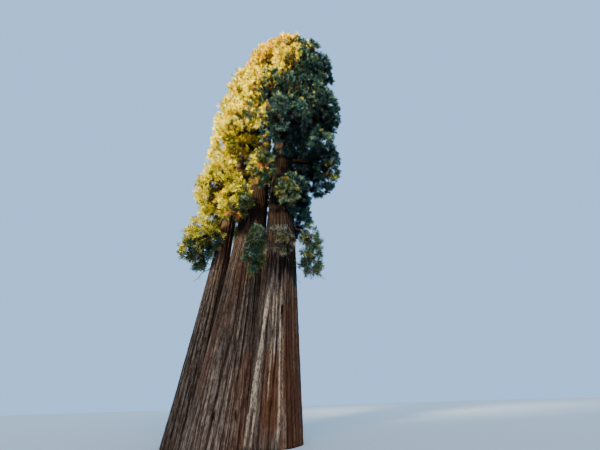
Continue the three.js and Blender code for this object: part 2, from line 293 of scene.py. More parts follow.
@dataclass(frozen=True)
class Arc:
    """A curve drawn towards a control point, or many such curves at once.

    Attributes:
        root: Where it begins.
        control: The point that it is drawn towards.
        end: Where it ends.
    """

    root: np.ndarray
    control: np.ndarray
    end: np.ndarray

    def at(self, share: np.ndarray | float) -> np.ndarray:
        """The point a share of the way along, one a row."""
        t = np.asarray(share, float)[..., None]
        return (1 - t) ** 2 * self.root + 2 * t * (1 - t) * self.control + t * t * self.end


@dataclass(frozen=True)
class Mass:
    """One mass of foliage: an ellipsoid that it keeps to, and the limb that carries it.

    Attributes:
        name: The end of its node's name.
        centre: Middle of the ellipsoid.
        radii: Half sizes outward, around the trunk and up.
        outward: Unit vector away from the trunk.
        arc: The limb's centre line, from inside the stem to the centre.
        thickness: The limb's radius at its root and at its end.
    """

    name: str
    centre: np.ndarray
    radii: np.ndarray
    outward: np.ndarray
    arc: Arc
    thickness: tuple[float, float]

    def axes(self) -> np.ndarray:
        """Outward, around and up, one a row."""
        return np.stack([self.outward, np.cross(UP, self.outward), UP])

    def place(self, local: np.ndarray) -> np.ndarray:
        """Points given in the mass's own axes and radii, in the tree's frame."""
        return self.centre + (local * self.radii) @ self.axes()

    def within(self, points: np.ndarray) -> np.ndarray:
        """Distance of points from the centre, in the mass's radii."""
        return np.linalg.norm(((points - self.centre) @ self.axes().T) / self.radii, axis=-1)

    def surface(self) -> float:
        """Area of the ellipsoid, by Thomsen's rule."""
        power = 1.6
        a, b, c = self.radii**power
        return 4 * math.pi * ((a * b + a * c + b * c) / 3) ** (1 / power)


@dataclass(frozen=True)
class Crown:
    """The crown: a tall dome of foliage masses in levels, and some low ones by the stems.

    Attributes:
        low: Height at which it begins.
        reach: Its reach from its axis where it is widest.
        swell: Its reach at the bottom, of that.
        blunt: How blunt its top is.
        axis_x: X of its axis at the top.
        axis_shift: How far the axis is left of that at the bottom.
        axis_y: Y of its axis.
        mass_shares: Half sizes of a mass outward and around, of the crown's reach there.
        half_height: Half height of a mass.
        low_half_height: Half height of one in the lowest level.
        inset: How far a mass's middle is inside the crown's reach, of its half size outward.
        shift: The most by which a mass departs from its place: metres up, degrees and share of the reach.
        rise: How far a limb climbs to its mass, to a metre outward, at the bottom and at the top.
        thinnest_carrier: Least radius of a stem that carries a limb.
        cell_margin: Gap between neighbouring masses, in their radii.
        bough: Radius of a bough at its root and at its end.
        hanging: The same for the limb of a low mass.
        arch: Where a bough arches most, of its length, and how far above its root it is drawn there.
        hanging_arch: The same for the limb of a low mass.
    """

    low: float = 11.0
    reach: float = 8.8
    swell: float = 0.55
    blunt: float = 3.6
    axis_x: float = 1.4
    axis_shift: float = 2.2
    axis_y: float = 0.2
    mass_shares: tuple[float, float] = (0.37, 0.52)
    half_height: float = 4.3
    low_half_height: float = 3.7
    inset: float = 0.93
    shift: tuple[float, float, float] = (1.1, 6.0, 0.07)
    rise: tuple[float, float] = (-0.15, 0.6)
    thinnest_carrier: float = 0.15
    cell_margin: float = 0.03
    bough: tuple[float, float] = (0.28, 0.13)
    hanging: tuple[float, float] = (0.14, 0.09)
    arch: tuple[float, float] = (0.6, 0.25)
    hanging_arch: tuple[float, float] = (0.85, 0.5)

    def share(self, height: float) -> float:
        """How far up the crown a height is."""
        return (height - self.low) / (REAL_HEIGHT - self.low)

    def reach_at(self, height: np.ndarray | float) -> np.ndarray | float:
        """The crown's reach from its axis at a height."""
        share = np.clip(self.share(height), 0, 1)
        swell = self.swell + (1 - self.swell) * np.sin(np.minimum(share / 0.5, 1) * (math.pi / 2))
        return self.reach * swell * np.sqrt(1 - share**self.blunt)

    def axis(self, height: np.ndarray | float) -> np.ndarray:
        """The line that the crown is round, one point a row."""
        z = np.asarray(height, float)
        x = self.axis_x - self.axis_shift * (1 - self.share(z)) ** 2
        return np.stack([x, np.full_like(x, self.axis_y), z], axis=-1)

    def levels(self) -> list[tuple[float, list[tuple[float, float]]]]:
        """The plan of the seven levels. The crown is slim on its front left.

        Returns:
            Height of each level, with the azimuth of each mass in degrees, 0 at the front and 90 at the
            right, and its share of the crown's reach.
        """
        return [
            (18, [(70, 0.78), (128, 1), (238, 1), (287, 1)]),
            (24, [(20, 1), (92, 1.1), (164, 1), (236, 1), (304, 0.86)]),
            (30, [(56, 1.03), (128, 1), (200, 1), (272, 0.92), (344, 0.94)]),
            (36, [(16, 1), (84, 1.05), (156, 1), (228, 1), (298, 0.88)]),
            (42, [(44, 1.06), (118, 1), (192, 1), (264, 0.88), (336, 0.84)]),
            (47.5, [(8, 1), (80, 1.05), (149, 1), (221, 1), (290, 0.95)]),
            (53, [(50, 1.05), (140, 1), (230, 0.9), (318, 0.8)]),
        ]

    def arc(self, root: np.ndarray, end: np.ndarray, arch: tuple[float, float]) -> Arc:
        """The line of a limb that leaves its root, arches and ends at a point."""
        control = mix(root, end, arch[0])
        control[2] = root[2] + arch[1]
        return Arc(root, control, end)

    def carrier(self, point: np.ndarray) -> Stem:
        """The right or middle stem, whichever is nearer to a point and still thick enough there."""
        able = [stem for stem in (RIGHT, MIDDLE) if stem.radius(point[2]) > self.thinnest_carrier]
        return min(able, key=lambda stem: float(np.linalg.norm(stem.centre(point[2]) - point)))

    def level_masses(self) -> list[Mass]:
        """The masses of the seven levels.

        Returns:
            The masses from the lowest level to the highest, in the order of the plan.
        """
        found = []
        for number, (height, places) in enumerate(self.levels(), 1):
            for index, (azimuth, spread) in enumerate(places):
                random = seeded(SEED + 100 * number + index)
                departures = [(2 * next(random) - 1) * most for most in self.shift]
                z = height + departures[0]
                turn = math.radians(azimuth + departures[1])
                reach = float(self.reach_at(z)) * (1 + departures[2]) * spread
                tall = (self.low_half_height if number == 1 else self.half_height) * min(spread, 1)
                radii = np.array([self.mass_shares[0] * reach, self.mass_shares[1] * reach, tall])
                outward = np.array([math.sin(turn), -math.cos(turn), 0.0])
                out = reach - self.inset * radii[0]
                centre = self.axis(z) + outward * out
                climb = out * mix(*self.rise, self.share(z))
                root = centre - UP * climb
                stem = self.carrier(root)
                arc = self.arc(stem.centre(root[2]), centre, self.arch)
                found.append(Mass(f"{number}_{index + 1}", centre, radii, outward, arc, self.bough))
        return found

    def low_masses(self) -> list[Mass]:
        """The masses that hang low by the stems.

        Returns:
            The masses, each with the limb that it hangs from.
        """
        places = [
            ("front_low", (-0.4, -3.0, 9.9), (1.0, 0.9, 2.4), MIDDLE, 13.4),
            ("left_low", (-4.7, 0.3, 12.2), (1.9, 1.9, 3.0), LEFT, 13.4),
            ("right_low", (3.9, -0.8, 11.4), (1.3, 1.2, 3.2), RIGHT, 13.6),
            ("right_front", (1.4, -2.6, 10.9), (1.2, 0.9, 1.6), RIGHT, 11.7),
            ("left_front", (-2.5, -2.0, 15.2), (1.8, 1.3, 3.0), MIDDLE, 15.8),
            ("middle_front", (-0.7, -3.1, 18.3), (1.5, 1.1, 3.1), MIDDLE, 19.2),
            ("right_middle", (1.7, -2.5, 16.2), (1.5, 0.9, 2.0), RIGHT, 17.0),
        ]
        found = []
        for name, centre, radii, stem, height in places:
            arc = self.arc(stem.centre(height), np.array(centre), self.hanging_arch)
            outward = np.array([1.0, 0.0, 0.0])
            found.append(Mass(name, np.array(centre), np.array(radii), outward, arc, self.hanging))
        return found

    def top_mass(self) -> Mass:
        """The mass over the tip of the right stem."""
        centre = np.array([0.8, 0.1, 57.9])
        root = RIGHT.centre(RIGHT.top() - 2.2)
        arc = Arc(root, mix(root, centre, 0.5), centre)
        outward = np.array([1.0, 0.0, 0.0])
        return Mass("top", centre, np.array([3.0, 3.0, 4.1]), outward, arc, self.hanging)

    def masses(self) -> list[Mass]:
        """Every mass, in the order of the solids."""
        return [*self.low_masses(), *self.level_masses(), self.top_mass()]


# Meshes


def link(
    mesh: bpy.types.Mesh, name: str, finishes: list[bpy.types.Material], nodes: list[str]
) -> None:
    """Makes a mesh a piece of the tree.

    Args:
        mesh: The mesh, in metres of the model.
        name: The piece's name.
        finishes: Its materials.
        nodes: The solids that it stands for.
    """
    piece = bpy.data.objects.new(name, mesh)
    bpy.context.scene.collection.objects.link(piece)
    for finish in finishes:
        mesh.materials.append(finish)
    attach(piece, BODY)
    if nodes:
        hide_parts(*nodes)
    log.info("%s: %d faces, stands for %d solids", name, len(mesh.polygons), len(nodes))


def mesh_of(name: str, points: np.ndarray, triangles: np.ndarray) -> bpy.types.Mesh:
    """A mesh of many small things from arrays.

    Args:
        name: The mesh's name.
        points: Corners, in metres of the real tree.
        triangles: Three corners a row.

    Returns:
        The mesh, in metres of the model.
    """
    mesh = bpy.data.meshes.new(name)
    mesh.vertices.add(len(points))
    mesh.vertices.foreach_set("co", (points * SCALE).astype(np.float32).ravel())
    mesh.loops.add(triangles.size)
    mesh.loops.foreach_set("vertex_index", triangles.astype(np.int32).ravel())
    mesh.polygons.add(len(triangles))
    mesh.polygons.foreach_set("loop_start", np.arange(0, triangles.size, 3, dtype=np.int32))
    mesh.update(calc_edges=True)
    return mesh


@dataclass(frozen=True)
class Solid:
    """Corners and triangles, of one thing or of many joined.

    Attributes:
        points: Corners, one a row.
        triangles: Numbers of three corners a row.
    """

    points: np.ndarray
    triangles: np.ndarray

    @staticmethod
    def joined(solids: list["Solid"]) -> "Solid":
        """Many as one."""
        starts = np.cumsum([0, *(len(solid.points) for solid in solids[:-1])])
        triangles = [solid.triangles + start for solid, start in zip(solids, starts)]
        return Solid(np.concatenate([solid.points for solid in solids]), np.concatenate(triangles))


def tubes(paths: np.ndarray, radii: np.ndarray, sides: int) -> Solid:
    """Closed limbs along many paths at once, each ending in a point.

    Args:
        paths: Points along each path, as limbs by steps by 3.
        radii: Radius at each of those points but the last, as limbs by steps less one.
        sides: Sides of a limb.

    Returns:
        All of them joined.
    """
    count, steps = paths.shape[:2]
    heading = unit(np.gradient(paths, axis=1))
    across = beside(heading)
    other = np.cross(heading, across)
    turn = 2 * math.pi * np.arange(sides) / sides
    ring = (
        np.cos(turn)[None, None, :, None] * across[:, :-1, None]
        + np.sin(turn)[None, None, :, None] * other[:, :-1, None]
    )
    rings = paths[:, :-1, None] + radii[:, :, None, None] * ring
    points = np.concatenate([rings.reshape(count, -1, 3), paths[:, -1:]], axis=1)
    last = (steps - 2) * sides
    faces = [(0, i + 1, i) for i in range(1, sides - 1)]
    for start in range(0, last, sides):
        for i in range(sides):
            here, following = start + i, start + (i + 1) % sides
            faces += [(here, following, following + sides), (here, following + sides, here + sides)]
    faces += [(last + i, last + (i + 1) % sides, last + sides) for i in range(sides)]
    template = np.array(faces)
    starts = np.arange(count)[:, None, None] * points.shape[1]
    return Solid(points.reshape(-1, 3), (template[None] + starts).reshape(-1, 3))


@dataclass(frozen=True)
class Skin:
    """The surface of a limb as a grid bent into a closed tube, made with bmesh operators.

    Attributes:
        columns: Faces around.
        heights: Where its rings are, as numbers that the placing rule reads.
    """

    columns: int
    heights: np.ndarray

    def mesh(
        self,
        name: str,
        place: Callable[[np.ndarray, np.ndarray], np.ndarray],
        marks: Callable[[np.ndarray, np.ndarray], dict[str, np.ndarray]],
    ) -> bpy.types.Mesh:
        """Bends the grid, closes its seam and its two ends.

        Args:
            name: The mesh's name.
            place: Gives points in metres of the real tree from turns and heights.
            marks: Gives values by name from turns and heights, kept as attributes for the finish.

        Returns:
            The mesh, in metres of the model.
        """
        shell = bmesh.new()
        rows = len(self.heights) - 1
        bmesh.ops.create_grid(shell, x_segments=self.columns, y_segments=rows, size=0.5)
        mesh = bpy.data.meshes.new(name)
        shell.to_mesh(mesh)
        flat = np.empty(len(mesh.vertices) * 3, np.float32)
        mesh.vertices.foreach_get("co", flat)
        flat = flat.reshape(-1, 3)
        column = np.rint((flat[:, 0] + 0.5) * self.columns).astype(int) % self.columns
        turn = 2 * math.pi * column / self.columns
        height = self.heights[np.rint((flat[:, 1] + 0.5) * rows).astype(int)]
        placed = place(turn, height) * SCALE
        mesh.vertices.foreach_set("co", placed.astype(np.float32).ravel())
        for mark, values in marks(turn, height).items():
            layer = mesh.attributes.new(mark, "FLOAT", "POINT")
            layer.data.foreach_set("value", values.astype(np.float32))
        shell.clear()
        shell.from_mesh(mesh)
        bmesh.ops.remove_doubles(shell, verts=shell.verts, dist=1e-6)
        rims = [edge for edge in shell.edges if edge.is_boundary]
        bmesh.ops.holes_fill(shell, edges=rims, sides=0)
        bmesh.ops.recalc_face_normals(shell, faces=shell.faces)
        for face in shell.faces:
            face.smooth = len(face.verts) == 4
        shell.to_mesh(mesh)
        shell.free()
        return mesh


# Finishes


def linear(code: str) -> tuple[float, float, float, float]:
    """A colour written as sRGB hex, in the linear values that the shaders take."""
    parts = [int(code[i : i + 2], 16) / 255 for i in (1, 3, 5)]
    return (*(c / 12.92 if c <= 0.04045 else ((c + 0.055) / 1.055) ** 2.4 for c in parts), 1.0)


class Surface:
    """A new material with a Principled shader joined to its output, and ways to feed that shader."""

    def __init__(self, name: str) -> None:
        """Makes the material with the shader alone in it.

        Args:
            name: The material's name.
        """
        self.material = bpy.data.materials.new(name)
        self.material.use_nodes = True
        self.tree = self.material.node_tree
        self.tree.nodes.clear()
        self.shader = self.add("ShaderNodeBsdfPrincipled")
        self.add("ShaderNodeOutputMaterial", {"Surface": self.shader.outputs["BSDF"]})

    def feed(self, node: bpy.types.Node, inputs: dict[str | int, object]) -> None:
        """Sets a node's sockets.

        Args:
            node: The node.
            inputs: Values or sources of its sockets, by name or number.
        """
        for key, value in inputs.items():
            if isinstance(value, bpy.types.NodeSocket):
                self.tree.links.new(value, node.inputs[key])
            else:
                node.inputs[key].default_value = value

    def add(
        self, kind: str, inputs: dict[str | int, object] | None = None, **settings: object
    ) -> bpy.types.Node:
        """Adds a node.

        Args:
            kind: The node's type.
            inputs: Values or sources of its sockets, by name or number.
            settings: Values of its properties.

        Returns:
            The node.
        """
        node = self.tree.nodes.new(kind)
        for key, value in settings.items():
            setattr(node, key, value)
        self.feed(node, inputs or {})
        return node

    def mark(self, name: str) -> bpy.types.NodeSocket:
        """The value that the mesh carries under a name."""
        return self.add("ShaderNodeAttribute", attribute_name=name).outputs["Fac"]

    def ramp(self, value: bpy.types.NodeSocket, stops: tuple[tuple[float, str], ...]) -> bpy.types.NodeSocket:
        """A colour by a value.

        Args:
            value: The value, from 0 to 1.
            stops: Values with their colours as sRGB hex, in order.

        Returns:
            The colour.
        """
        node = self.add("ShaderNodeValToRGB", {"Fac": value})
        band = node.color_ramp
        while len(band.elements) < len(stops):
            band.elements.new(0.5)
        for element, (place, code) in zip(band.elements, stops):
            element.position = place
            element.color = linear(code)
        return node.outputs["Color"]

    def blend(self, share: bpy.types.NodeSocket, low: object, high: object) -> bpy.types.NodeSocket:
        """One colour laid over another by the share of it that shows."""
        return self.add("ShaderNodeMix", {0: share, 6: low, 7: high}, data_type="RGBA").outputs[2]

    def product(self, first: bpy.types.NodeSocket, second: object) -> bpy.types.NodeSocket:
        """Two values multiplied."""
        return self.add("ShaderNodeMath", {0: first, 1: second}, operation="MULTIPLY").outputs[0]

    def weighted(self, *parts: tuple[bpy.types.NodeSocket, float]) -> bpy.types.NodeSocket:
        """Values added up.

        Args:
            parts: Values with their weights.

        Returns:
            The sum.
        """
        total: bpy.types.NodeSocket | float = 0.0
        for value, weight in parts:
            inputs = {0: value, 1: weight, 2: total}
            total = self.add("ShaderNodeMath", inputs, operation="MULTIPLY_ADD").outputs[0]
        return total

    def noise(self, width_mm: float, length_mm: float, detail: float) -> bpy.types.NodeSocket:
        """Noise drawn out upward, as the fibres of the bark lie.

        Args:
            width_mm: Width of a fibre on the real tree.
            length_mm: Its length.
            detail: Octaves.

        Returns:
            A value from 0 to 1.
        """
        across, along = 1000 / (width_mm * SCALE), 1000 / (length_mm * SCALE)
        place = self.add("ShaderNodeTexCoord").outputs["Object"]
        stretched = self.add("ShaderNodeMapping", {"Vector": place, "Scale": (across, across, along)})
        inputs = {"Vector": stretched.outputs["Vector"], "Scale": 1.0, "Detail": detail, "Roughness": 0.6}
        return self.add("ShaderNodeTexNoise", inputs).outputs["Fac"]

    def gloss(self, noise: bpy.types.NodeSocket, low: float, high: float) -> None:
        """Lets a noise move the shader's roughness, from low where it is 0 to high where it is 1."""
        spread = self.add("ShaderNodeMapRange", {"Value": noise, "To Min": low, "To Max": high})
        self.feed(self.shader, {"Roughness": spread.outputs["Result"]})


@dataclass(frozen=True)
class BarkFinish:
    """Sequoia bark: thick, dry and fibrous, weathered grey on its ridges and dark in its furrows.

    Attributes:
        name: The material's name.
        furrow: Colour at the bottom of the furrows, darker than the ridges and deepened to near black with
            painted shade.
        side: Colour of their sides.
        ridge: Colour of the ridges.
        weathered: Colour of the crests, where the weather has bleached them.
        ruddy: Colour of the patches that have kept their red.
        fibre_mm: Width of a bundle of fibres, wide enough to show.
        fibre_length_mm: Its length.
        flake_mm: Size of the flakes that the fibres break into.
        patch_mm: Size of the ruddy patches.
        relief_mm: Depth of the finest relief, which is bump.
    """

    name: str
    furrow: str
    side: str
    ridge: str
    weathered: str
    ruddy: str = "#4a2a1f"
    fibre_mm: float = 55.0
    fibre_length_mm: float = 900.0
    flake_mm: float = 40.0
    patch_mm: float = 700.0
    relief_mm: float = 30.0

    DEPTHS = (0.4, 0.54, 0.68, 0.84)  # of furrow, side, ridge and weathered crest
    FRESH_RED = ((0.4, "#20110a"), (0.58, "#4b2b1a"), (0.8, "#7a5038"))  # under the flakes that fell
    BARE_FIBRE = "#cdb79c"
    # Near black: painted shade, and the dark knots and marks, laid over the bark.
    SHADE_AND_MARK_COLOUR = "#0b0807"

    def material(self) -> bpy.types.Material:
        """Colours by the relief and marks that the mesh carries, under noise drawn out with the fibres.

        Returns:
            The material.
        """
        surface = Surface(self.name)
        relief, streak, cinnamon_and_sunspot, painted_shade_and_dark_marks = map(surface.mark, ("relief", "streak", "cinnamon_and_sunspot", "painted_shade_and_dark_marks"))
        fibres = surface.noise(self.fibre_mm, self.fibre_length_mm, 3.0)
        flakes = surface.noise(self.flake_mm, 4 * self.flake_mm, 2.0)
        patches = surface.noise(self.patch_mm, 4 * self.patch_mm, 2.0)
        depth = surface.weighted((relief, 0.42), (fibres, 0.4), (flakes, 0.32))
        stops = tuple(zip(self.DEPTHS, (self.furrow, self.side, self.ridge, self.weathered)))
        ruddy = surface.ramp(patches, ((0.45, "#000000"), (0.7, "#909090")))
        patchy = surface.blend(ruddy, surface.ramp(depth, stops), linear(self.ruddy))
        # The red of fresh bark, which also paints one sunlit spot.
        with_red_and_sunspot = surface.blend(cinnamon_and_sunspot, patchy, surface.ramp(depth, self.FRESH_RED))
        flaked = surface.ramp(flakes, ((0.34, "#303030"), (0.54, "#ffffff")))
        pale = surface.blend(surface.product(streak, flaked), with_red_and_sunspot, linear(self.BARE_FIBRE))
        # Painted shade and dark knots and marks laid over the bark.
        shaded_and_marked = surface.blend(painted_shade_and_dark_marks, pale, linear(self.SHADE_AND_MARK_COLOUR))
        height = surface.weighted((fibres, 0.7), (flakes, 0.3))
        distance = self.relief_mm * SCALE / 1000
        bump = surface.add("ShaderNodeBump", {"Strength": 0.9, "Distance": distance, "Height": height})
        surface.feed(surface.shader, {"Base Color": shaded_and_marked, "Normal": bump.outputs["Normal"]})
        surface.gloss(fibres, 0.98, 0.82)
        surface.shader.inputs["Specular IOR Level"].default_value = 0.2
        return surface.material


@dataclass(frozen=True)
class NeedleFinish:
    """Needle sprays: scale-like needles with a thin wax, so a dull skin with a faint gloss.

    Attributes:
        name: The material's name.
        colour: Its one plain colour.
        grain_mm: Size of the grain in its gloss.
    """

    name: str
    colour: str
    grain_mm: float = 60.0

    def material(self) -> bpy.types.Material:
        """A plain colour, since it is dealt by place, with a fine grain in its gloss."""
        surface = Surface(self.name)
        surface.gloss(surface.noise(self.grain_mm, self.grain_mm, 2.0), 0.5, 0.85)
        surface.shader.inputs["Base Color"].default_value = linear(self.colour)
        surface.shader.inputs["Specular IOR Level"].default_value = 0.3
        return surface.material


@dataclass(frozen=True)
class TwigFinish:
    """Twigs and dead limbs: thin bark or bare wood, dull, with pale and dark lengths.

    Attributes:
        name: The material's name.
        dark: Colour of its dark lengths.
        pale: Colour of its pale lengths.
        mottle_mm: Width and length of those.
    """

    name: str
    dark: str
    pale: str
    mottle_mm: tuple[float, float] = (120.0, 260.0)

    def material(self) -> bpy.types.Material:
        """Two colours by a noise as long as a hand."""
        surface = Surface(self.name)
        noise = surface.noise(*self.mottle_mm, 2.0)
        colour = surface.ramp(noise, ((0.35, self.dark), (0.65, self.pale)))
        surface.feed(surface.shader, {"Base Color": colour})
        surface.gloss(noise, 0.95, 0.75)
        return surface.material


class Tint(Enum):
    """The colours that the sprays are dealt, from painted deep shade to painted full sun."""

    # Painted shade, deep and warm.
    DEEP = NeedleFinish("needles in deep shade", "#203236")
    UMBER = NeedleFinish("needles in warm shade", "#85703c")
    BLUE_GREEN = NeedleFinish("needles blue green", "#3c5b5b")
    GREEN = NeedleFinish("needles green", "#46634c")
    GREY_GREEN = NeedleFinish("needles grey green", "#657b72")
    DRY = NeedleFinish("needles dry and brown", "#857868")
    OLIVE = NeedleFinish("needles olive", "#7a7636")
    # Painted low sunlight: yellow green, gold, pale gold and amber.
    YELLOW_GREEN = NeedleFinish("needles painted sunlit yellow green", "#d6cf58")
    GOLD = NeedleFinish("needles painted sunlit gold", "#fbd35a")
    PALE_GOLD = NeedleFinish("needles painted pale sunlit gold", "#fff27c")
    AMBER = NeedleFinish("needles painted amber sunlight", "#e8965a")

    @property
    def number(self) -> int:
        """Its place among the materials of a piece of sprays."""
        return list(Tint).index(self)


class Wood(Enum):
    """The finishes of bark and bare wood. The three barks are darker than real sequoia bark: the forest shade
    that the stems stand in is painted into their colours.
    """

    # The right stem: cinnamon red under a weathered grey skin, dull as felt.
    RED_BARK = BarkFinish("red brown bark", "#140c09", "#35261e", "#57453a", "#8b7c70", "#432a1f")
    # The middle stem: a browner skin with pale crests over nearly black furrows.
    BROWN_BARK = BarkFinish("brown bark", "#0e0906", "#2f221a", "#574539", "#9d8a7c", "#432b20")
    # The left stem: the same in a greyer brown, as bark looks in the shade.
    GREY_BARK = BarkFinish("grey brown bark", "#0d0906", "#291e17", "#524136", "#9c8b7d", "#3c281d")
    # Boughs: thinner bark, dark and nearly grey.
    LIMB_BARK = BarkFinish("limb bark", "#120d0b", "#28211d", "#423a34", "#6a6158", fibre_mm=40)
    # Branches and twigs: thin brown bark, darkened with painted shade so that it sinks into the needles'
    # shade.
    TWIG_BARK = TwigFinish("twig bark", "#211a15", "#4c3f34")
    # Dead limbs: bare wood bleached to a pale grey.
    DEAD = TwigFinish("weathered dead wood", "#3a342f", "#7d746a")


# Bark


@dataclass(frozen=True)
class Streak:
    """A pale streak of bare fibre up a stem.

    Attributes:
        foot: Its angle round the stem at the ground, in degrees. 0 is the front, 90 the right.
        drift: Degrees to a metre up.
        width: Half width in metres.
        low: Height at which it begins.
        high: Height at which it has faded out.
        strength: How pale it is.
    """

    foot: float
    drift: float
    width: float
    low: float
    high: float
    strength: float

    RAGGED = 0.06  # metres that its edge wanders
    EDGE = (0.55, 1.15)  # where it fades to the side, of its half width
    BEGIN = 0.5  # metres over which it begins, up and down from its low end
    FADE = 2.5  # metres over which it ends

    def at(
        self, degrees: np.ndarray, height: np.ndarray, ragged: np.ndarray, radius: np.ndarray
    ) -> np.ndarray:
        """Its strength at places on a stem.

        Args:
            degrees: Angle round the stem.
            height: Metres above the ground.
            ragged: A noise from 0 to 1 that makes its edges ragged.
            radius: The stem's radius there.

        Returns:
            Numbers from 0 to its strength.
        """
        off = (degrees - self.foot - self.drift * height) * math.pi / 180 * radius
        near, far = (share * self.width for share in self.EDGE)
        side = 1 - smooth(np.abs(off) + self.RAGGED * (ragged - 0.5), near, far)
        rise = (self.low - self.BEGIN, self.low + self.BEGIN)
        return self.strength * side * window(height, rise, (self.high - self.FADE, self.high))


@dataclass(frozen=True)
class Patch:
    """A stained part of a stem, or a part with painted shade or a painted sunlit spot.

    Attributes:
        mark: The attribute that it raises: the red of fresh bark, which one patch uses for a painted sunlit
            spot, or painted shade with dark knots and marks.
        turn: Its angles round the stem in degrees, as in a streak.
        height: Its lowest and highest metres.
        soft: Degrees and metres over which it fades.
        strength: How strong it is in its middle.
    """

    mark: str
    turn: tuple[float, float]
    height: tuple[float, float]
    soft: tuple[float, float]
    strength: float

    RAGGED = 1.5  # how far its edges wander, of what it fades over

    def at(self, degrees: np.ndarray, height: np.ndarray, ragged: np.ndarray) -> np.ndarray:
        """Its strength at places on a stem.

        Args:
            degrees: Angle round the stem.
            height: Metres above the ground.
            ragged: A noise from 0 to 1 that makes its edges ragged.

        Returns:
            Numbers from 0 to its strength.
        """
        shares = []
        for values, (low, high), soft in zip((degrees, height), (self.turn, self.height), self.soft):
            moved = values + self.RAGGED * soft * (ragged - 0.5)
            shares.append(window(moved, (low - soft, low), (high, high + soft)))
        return self.strength * shares[0] * shares[1]


@dataclass(frozen=True)
class StemBark:
    """The bark of one stem, from the flat cut at the ground to its tip.

    Attributes:
        stem: Its centre line and girth.
        wood: Its finish.
        seed: Picks its ridges.
        columns: Faces round the foot, twice those of the free stem.
        row: Height of a face at the foot.
        free_row: Height of a face on the free stem up to bare_top.
        bare_top: Height above which the crown hides the stem.
        ridge_width: Metres from furrow to furrow.
        depths: Depth of the furrows at the foot, of the cracks in the ridges and of the breaks in the fibres.
        pale_ridges: How pale the bare fibre is on the crests here and there.
        streaks: Pale streaks.
        patches: Stained parts, and parts with painted shade or a painted sunlit spot.
    """

    stem: Stem
    wood: Wood
    seed: int
    columns: int = 320
    row: float = 0.085
    free_row: float = 0.15
    bare_top: float = 26.0
    ridge_width: float = 0.33
    depths: tuple[float, float, float] = (0.14, 0.06, 0.03)
    pale_ridges: float = 0.45
    streaks: tuple[Streak, ...] = ()
    patches: tuple[Patch, ...] = ()

    # Ridges. Widths are shares of a ridge's width, and rises are metres up over which a thing wanders.
    SWAY_CELLS, SWAY_RISE, SWAY = 9, 5.0, 0.015  # the last is of a full turn
    RIDGE_RISE = 6.0
    FIBRE_WIDTH, FIBRE_RISE = 0.3, 2.2
    CRUMB_WIDTH, CRUMB_RISE, CRUMB_ROWS = 0.2, 0.28, 240
    WARP = 1.6  # ridges that a furrow wanders over
    FLAT = 0.65  # where a ridge's side ends and its flat top begins
    SHALLOWEST = 0.25  # the shallowest furrow, of the deepest
    DEPTH_RISE = 0.8  # metres up over which its depth changes, to a metre of its own rise
    LEVELS = (0.75, 0.6, 0.5)  # height of ridges, fibres and crumbs that lies on the stem's own radius

    # Marks. Each pair of numbers is what a soft step runs between.
    RAGGED_WIDTH, RAGGED_RISE = 0.12, 0.7
    PALE_NOISE = (0.7, 0.92)
    PALE_HEIGHT = (14, 8)
    RED_CELLS, RED_RISE = 7, 3.0
    RED_NOISE = (0.6, 0.9)
    RED = 0.5
    IN_FURROW = 0.5  # what is left of a streak in a furrow
    ON_CRUMBS = (-0.2, 0.5)
    WEIGHTS = (0.5, 0.3, 0.2)  # of ridges, fibres and crumbs in the relief that picks the colour

    HIDDEN_ROWS = 4  # faces above bare_top are this many times taller

    def cells(self, width: float) -> int:
        """Noise cells of a width round the foot."""
        return round(2 * math.pi * float(self.stem.radius(0)) / width)

    def noise(
        self, number: int, around: int, rise: float, turn: np.ndarray, height: np.ndarray
    ) -> np.ndarray:
        """One of the stem's noises, by its number, from 0 to 1."""
        return RoundNoise(self.seed + number, around, rise).at(turn / (2 * math.pi), height)

    def corduroy(
        self, number: int, width: float, rise: float, share: np.ndarray, height: np.ndarray
    ) -> np.ndarray:
        """Upright ridges of about one width that wander, run together and part again.

        Args:
            number: Picks the noises.
            width: From furrow to furrow, in metres.
            rise: Height over which a furrow wanders, in metres.
            share: Share of a full turn.
            height: Metres above the ground.

        Returns:
            Height of the ridges, from 0 to 1.
        """
        count = self.cells(width)
        warp = RoundNoise(self.seed + number, count // 2, rise).at(share, height) - 0.5
        furrow = np.minimum(np.abs(np.sin(math.pi * (share * count + self.WARP * warp))) / self.FLAT, 1)
        depth = RoundNoise(self.seed + number + 40, count, self.DEPTH_RISE * rise).at(share, height)
        return 1 - (1 - furrow) * mix(self.SHALLOWEST, 1.0, depth)

    def ridges(self, turn: np.ndarray, height: np.ndarray) -> tuple[np.ndarray, np.ndarray, np.ndarray]:
        """The furrowed relief.

        Args:
            turn: Angle round the stem, in radians.
            height: Metres above the ground.

        Returns:
            Height of the ridges, of the fibres on them and of the crumbs of those, each from 0 to 1.
        """
        share = turn / (2 * math.pi)
        sway = self.noise(1, self.SWAY_CELLS, self.SWAY_RISE, turn, height) - 0.5
        share = share + self.SWAY * sway
        ridge = self.corduroy(2, self.ridge_width, self.RIDGE_RISE, share, height)
        fibre = self.corduroy(3, self.FIBRE_WIDTH * self.ridge_width, self.FIBRE_RISE, share, height)
        cells = self.cells(self.CRUMB_WIDTH * self.ridge_width)
        crumb = RoundNoise(self.seed + 6, cells, self.CRUMB_RISE, self.CRUMB_ROWS).at(share, height)
        return ridge, fibre, crumb

    def place(self, turn: np.ndarray, height: np.ndarray) -> np.ndarray:
        """Points of the bark.

        Args:
            turn: Angle round the stem, in radians.
            height: Metres above the ground.

        Returns:
            One point a row, in metres of the real tree.
        """
        parts = zip(self.depths, self.ridges(turn, height), self.LEVELS)
        relief = sum(depth * (part - level) for depth, part, level in parts)
        radius = self.stem.radius(height)
        slim = np.minimum(radius / self.stem.girth, 1)
        radius = radius * (1 + self.stem.lobe(turn, height)) + slim * relief
        around = np.stack([np.cos(turn), np.sin(turn), np.zeros_like(turn)], axis=-1)
        return self.stem.centre(height) + radius[:, None] * around

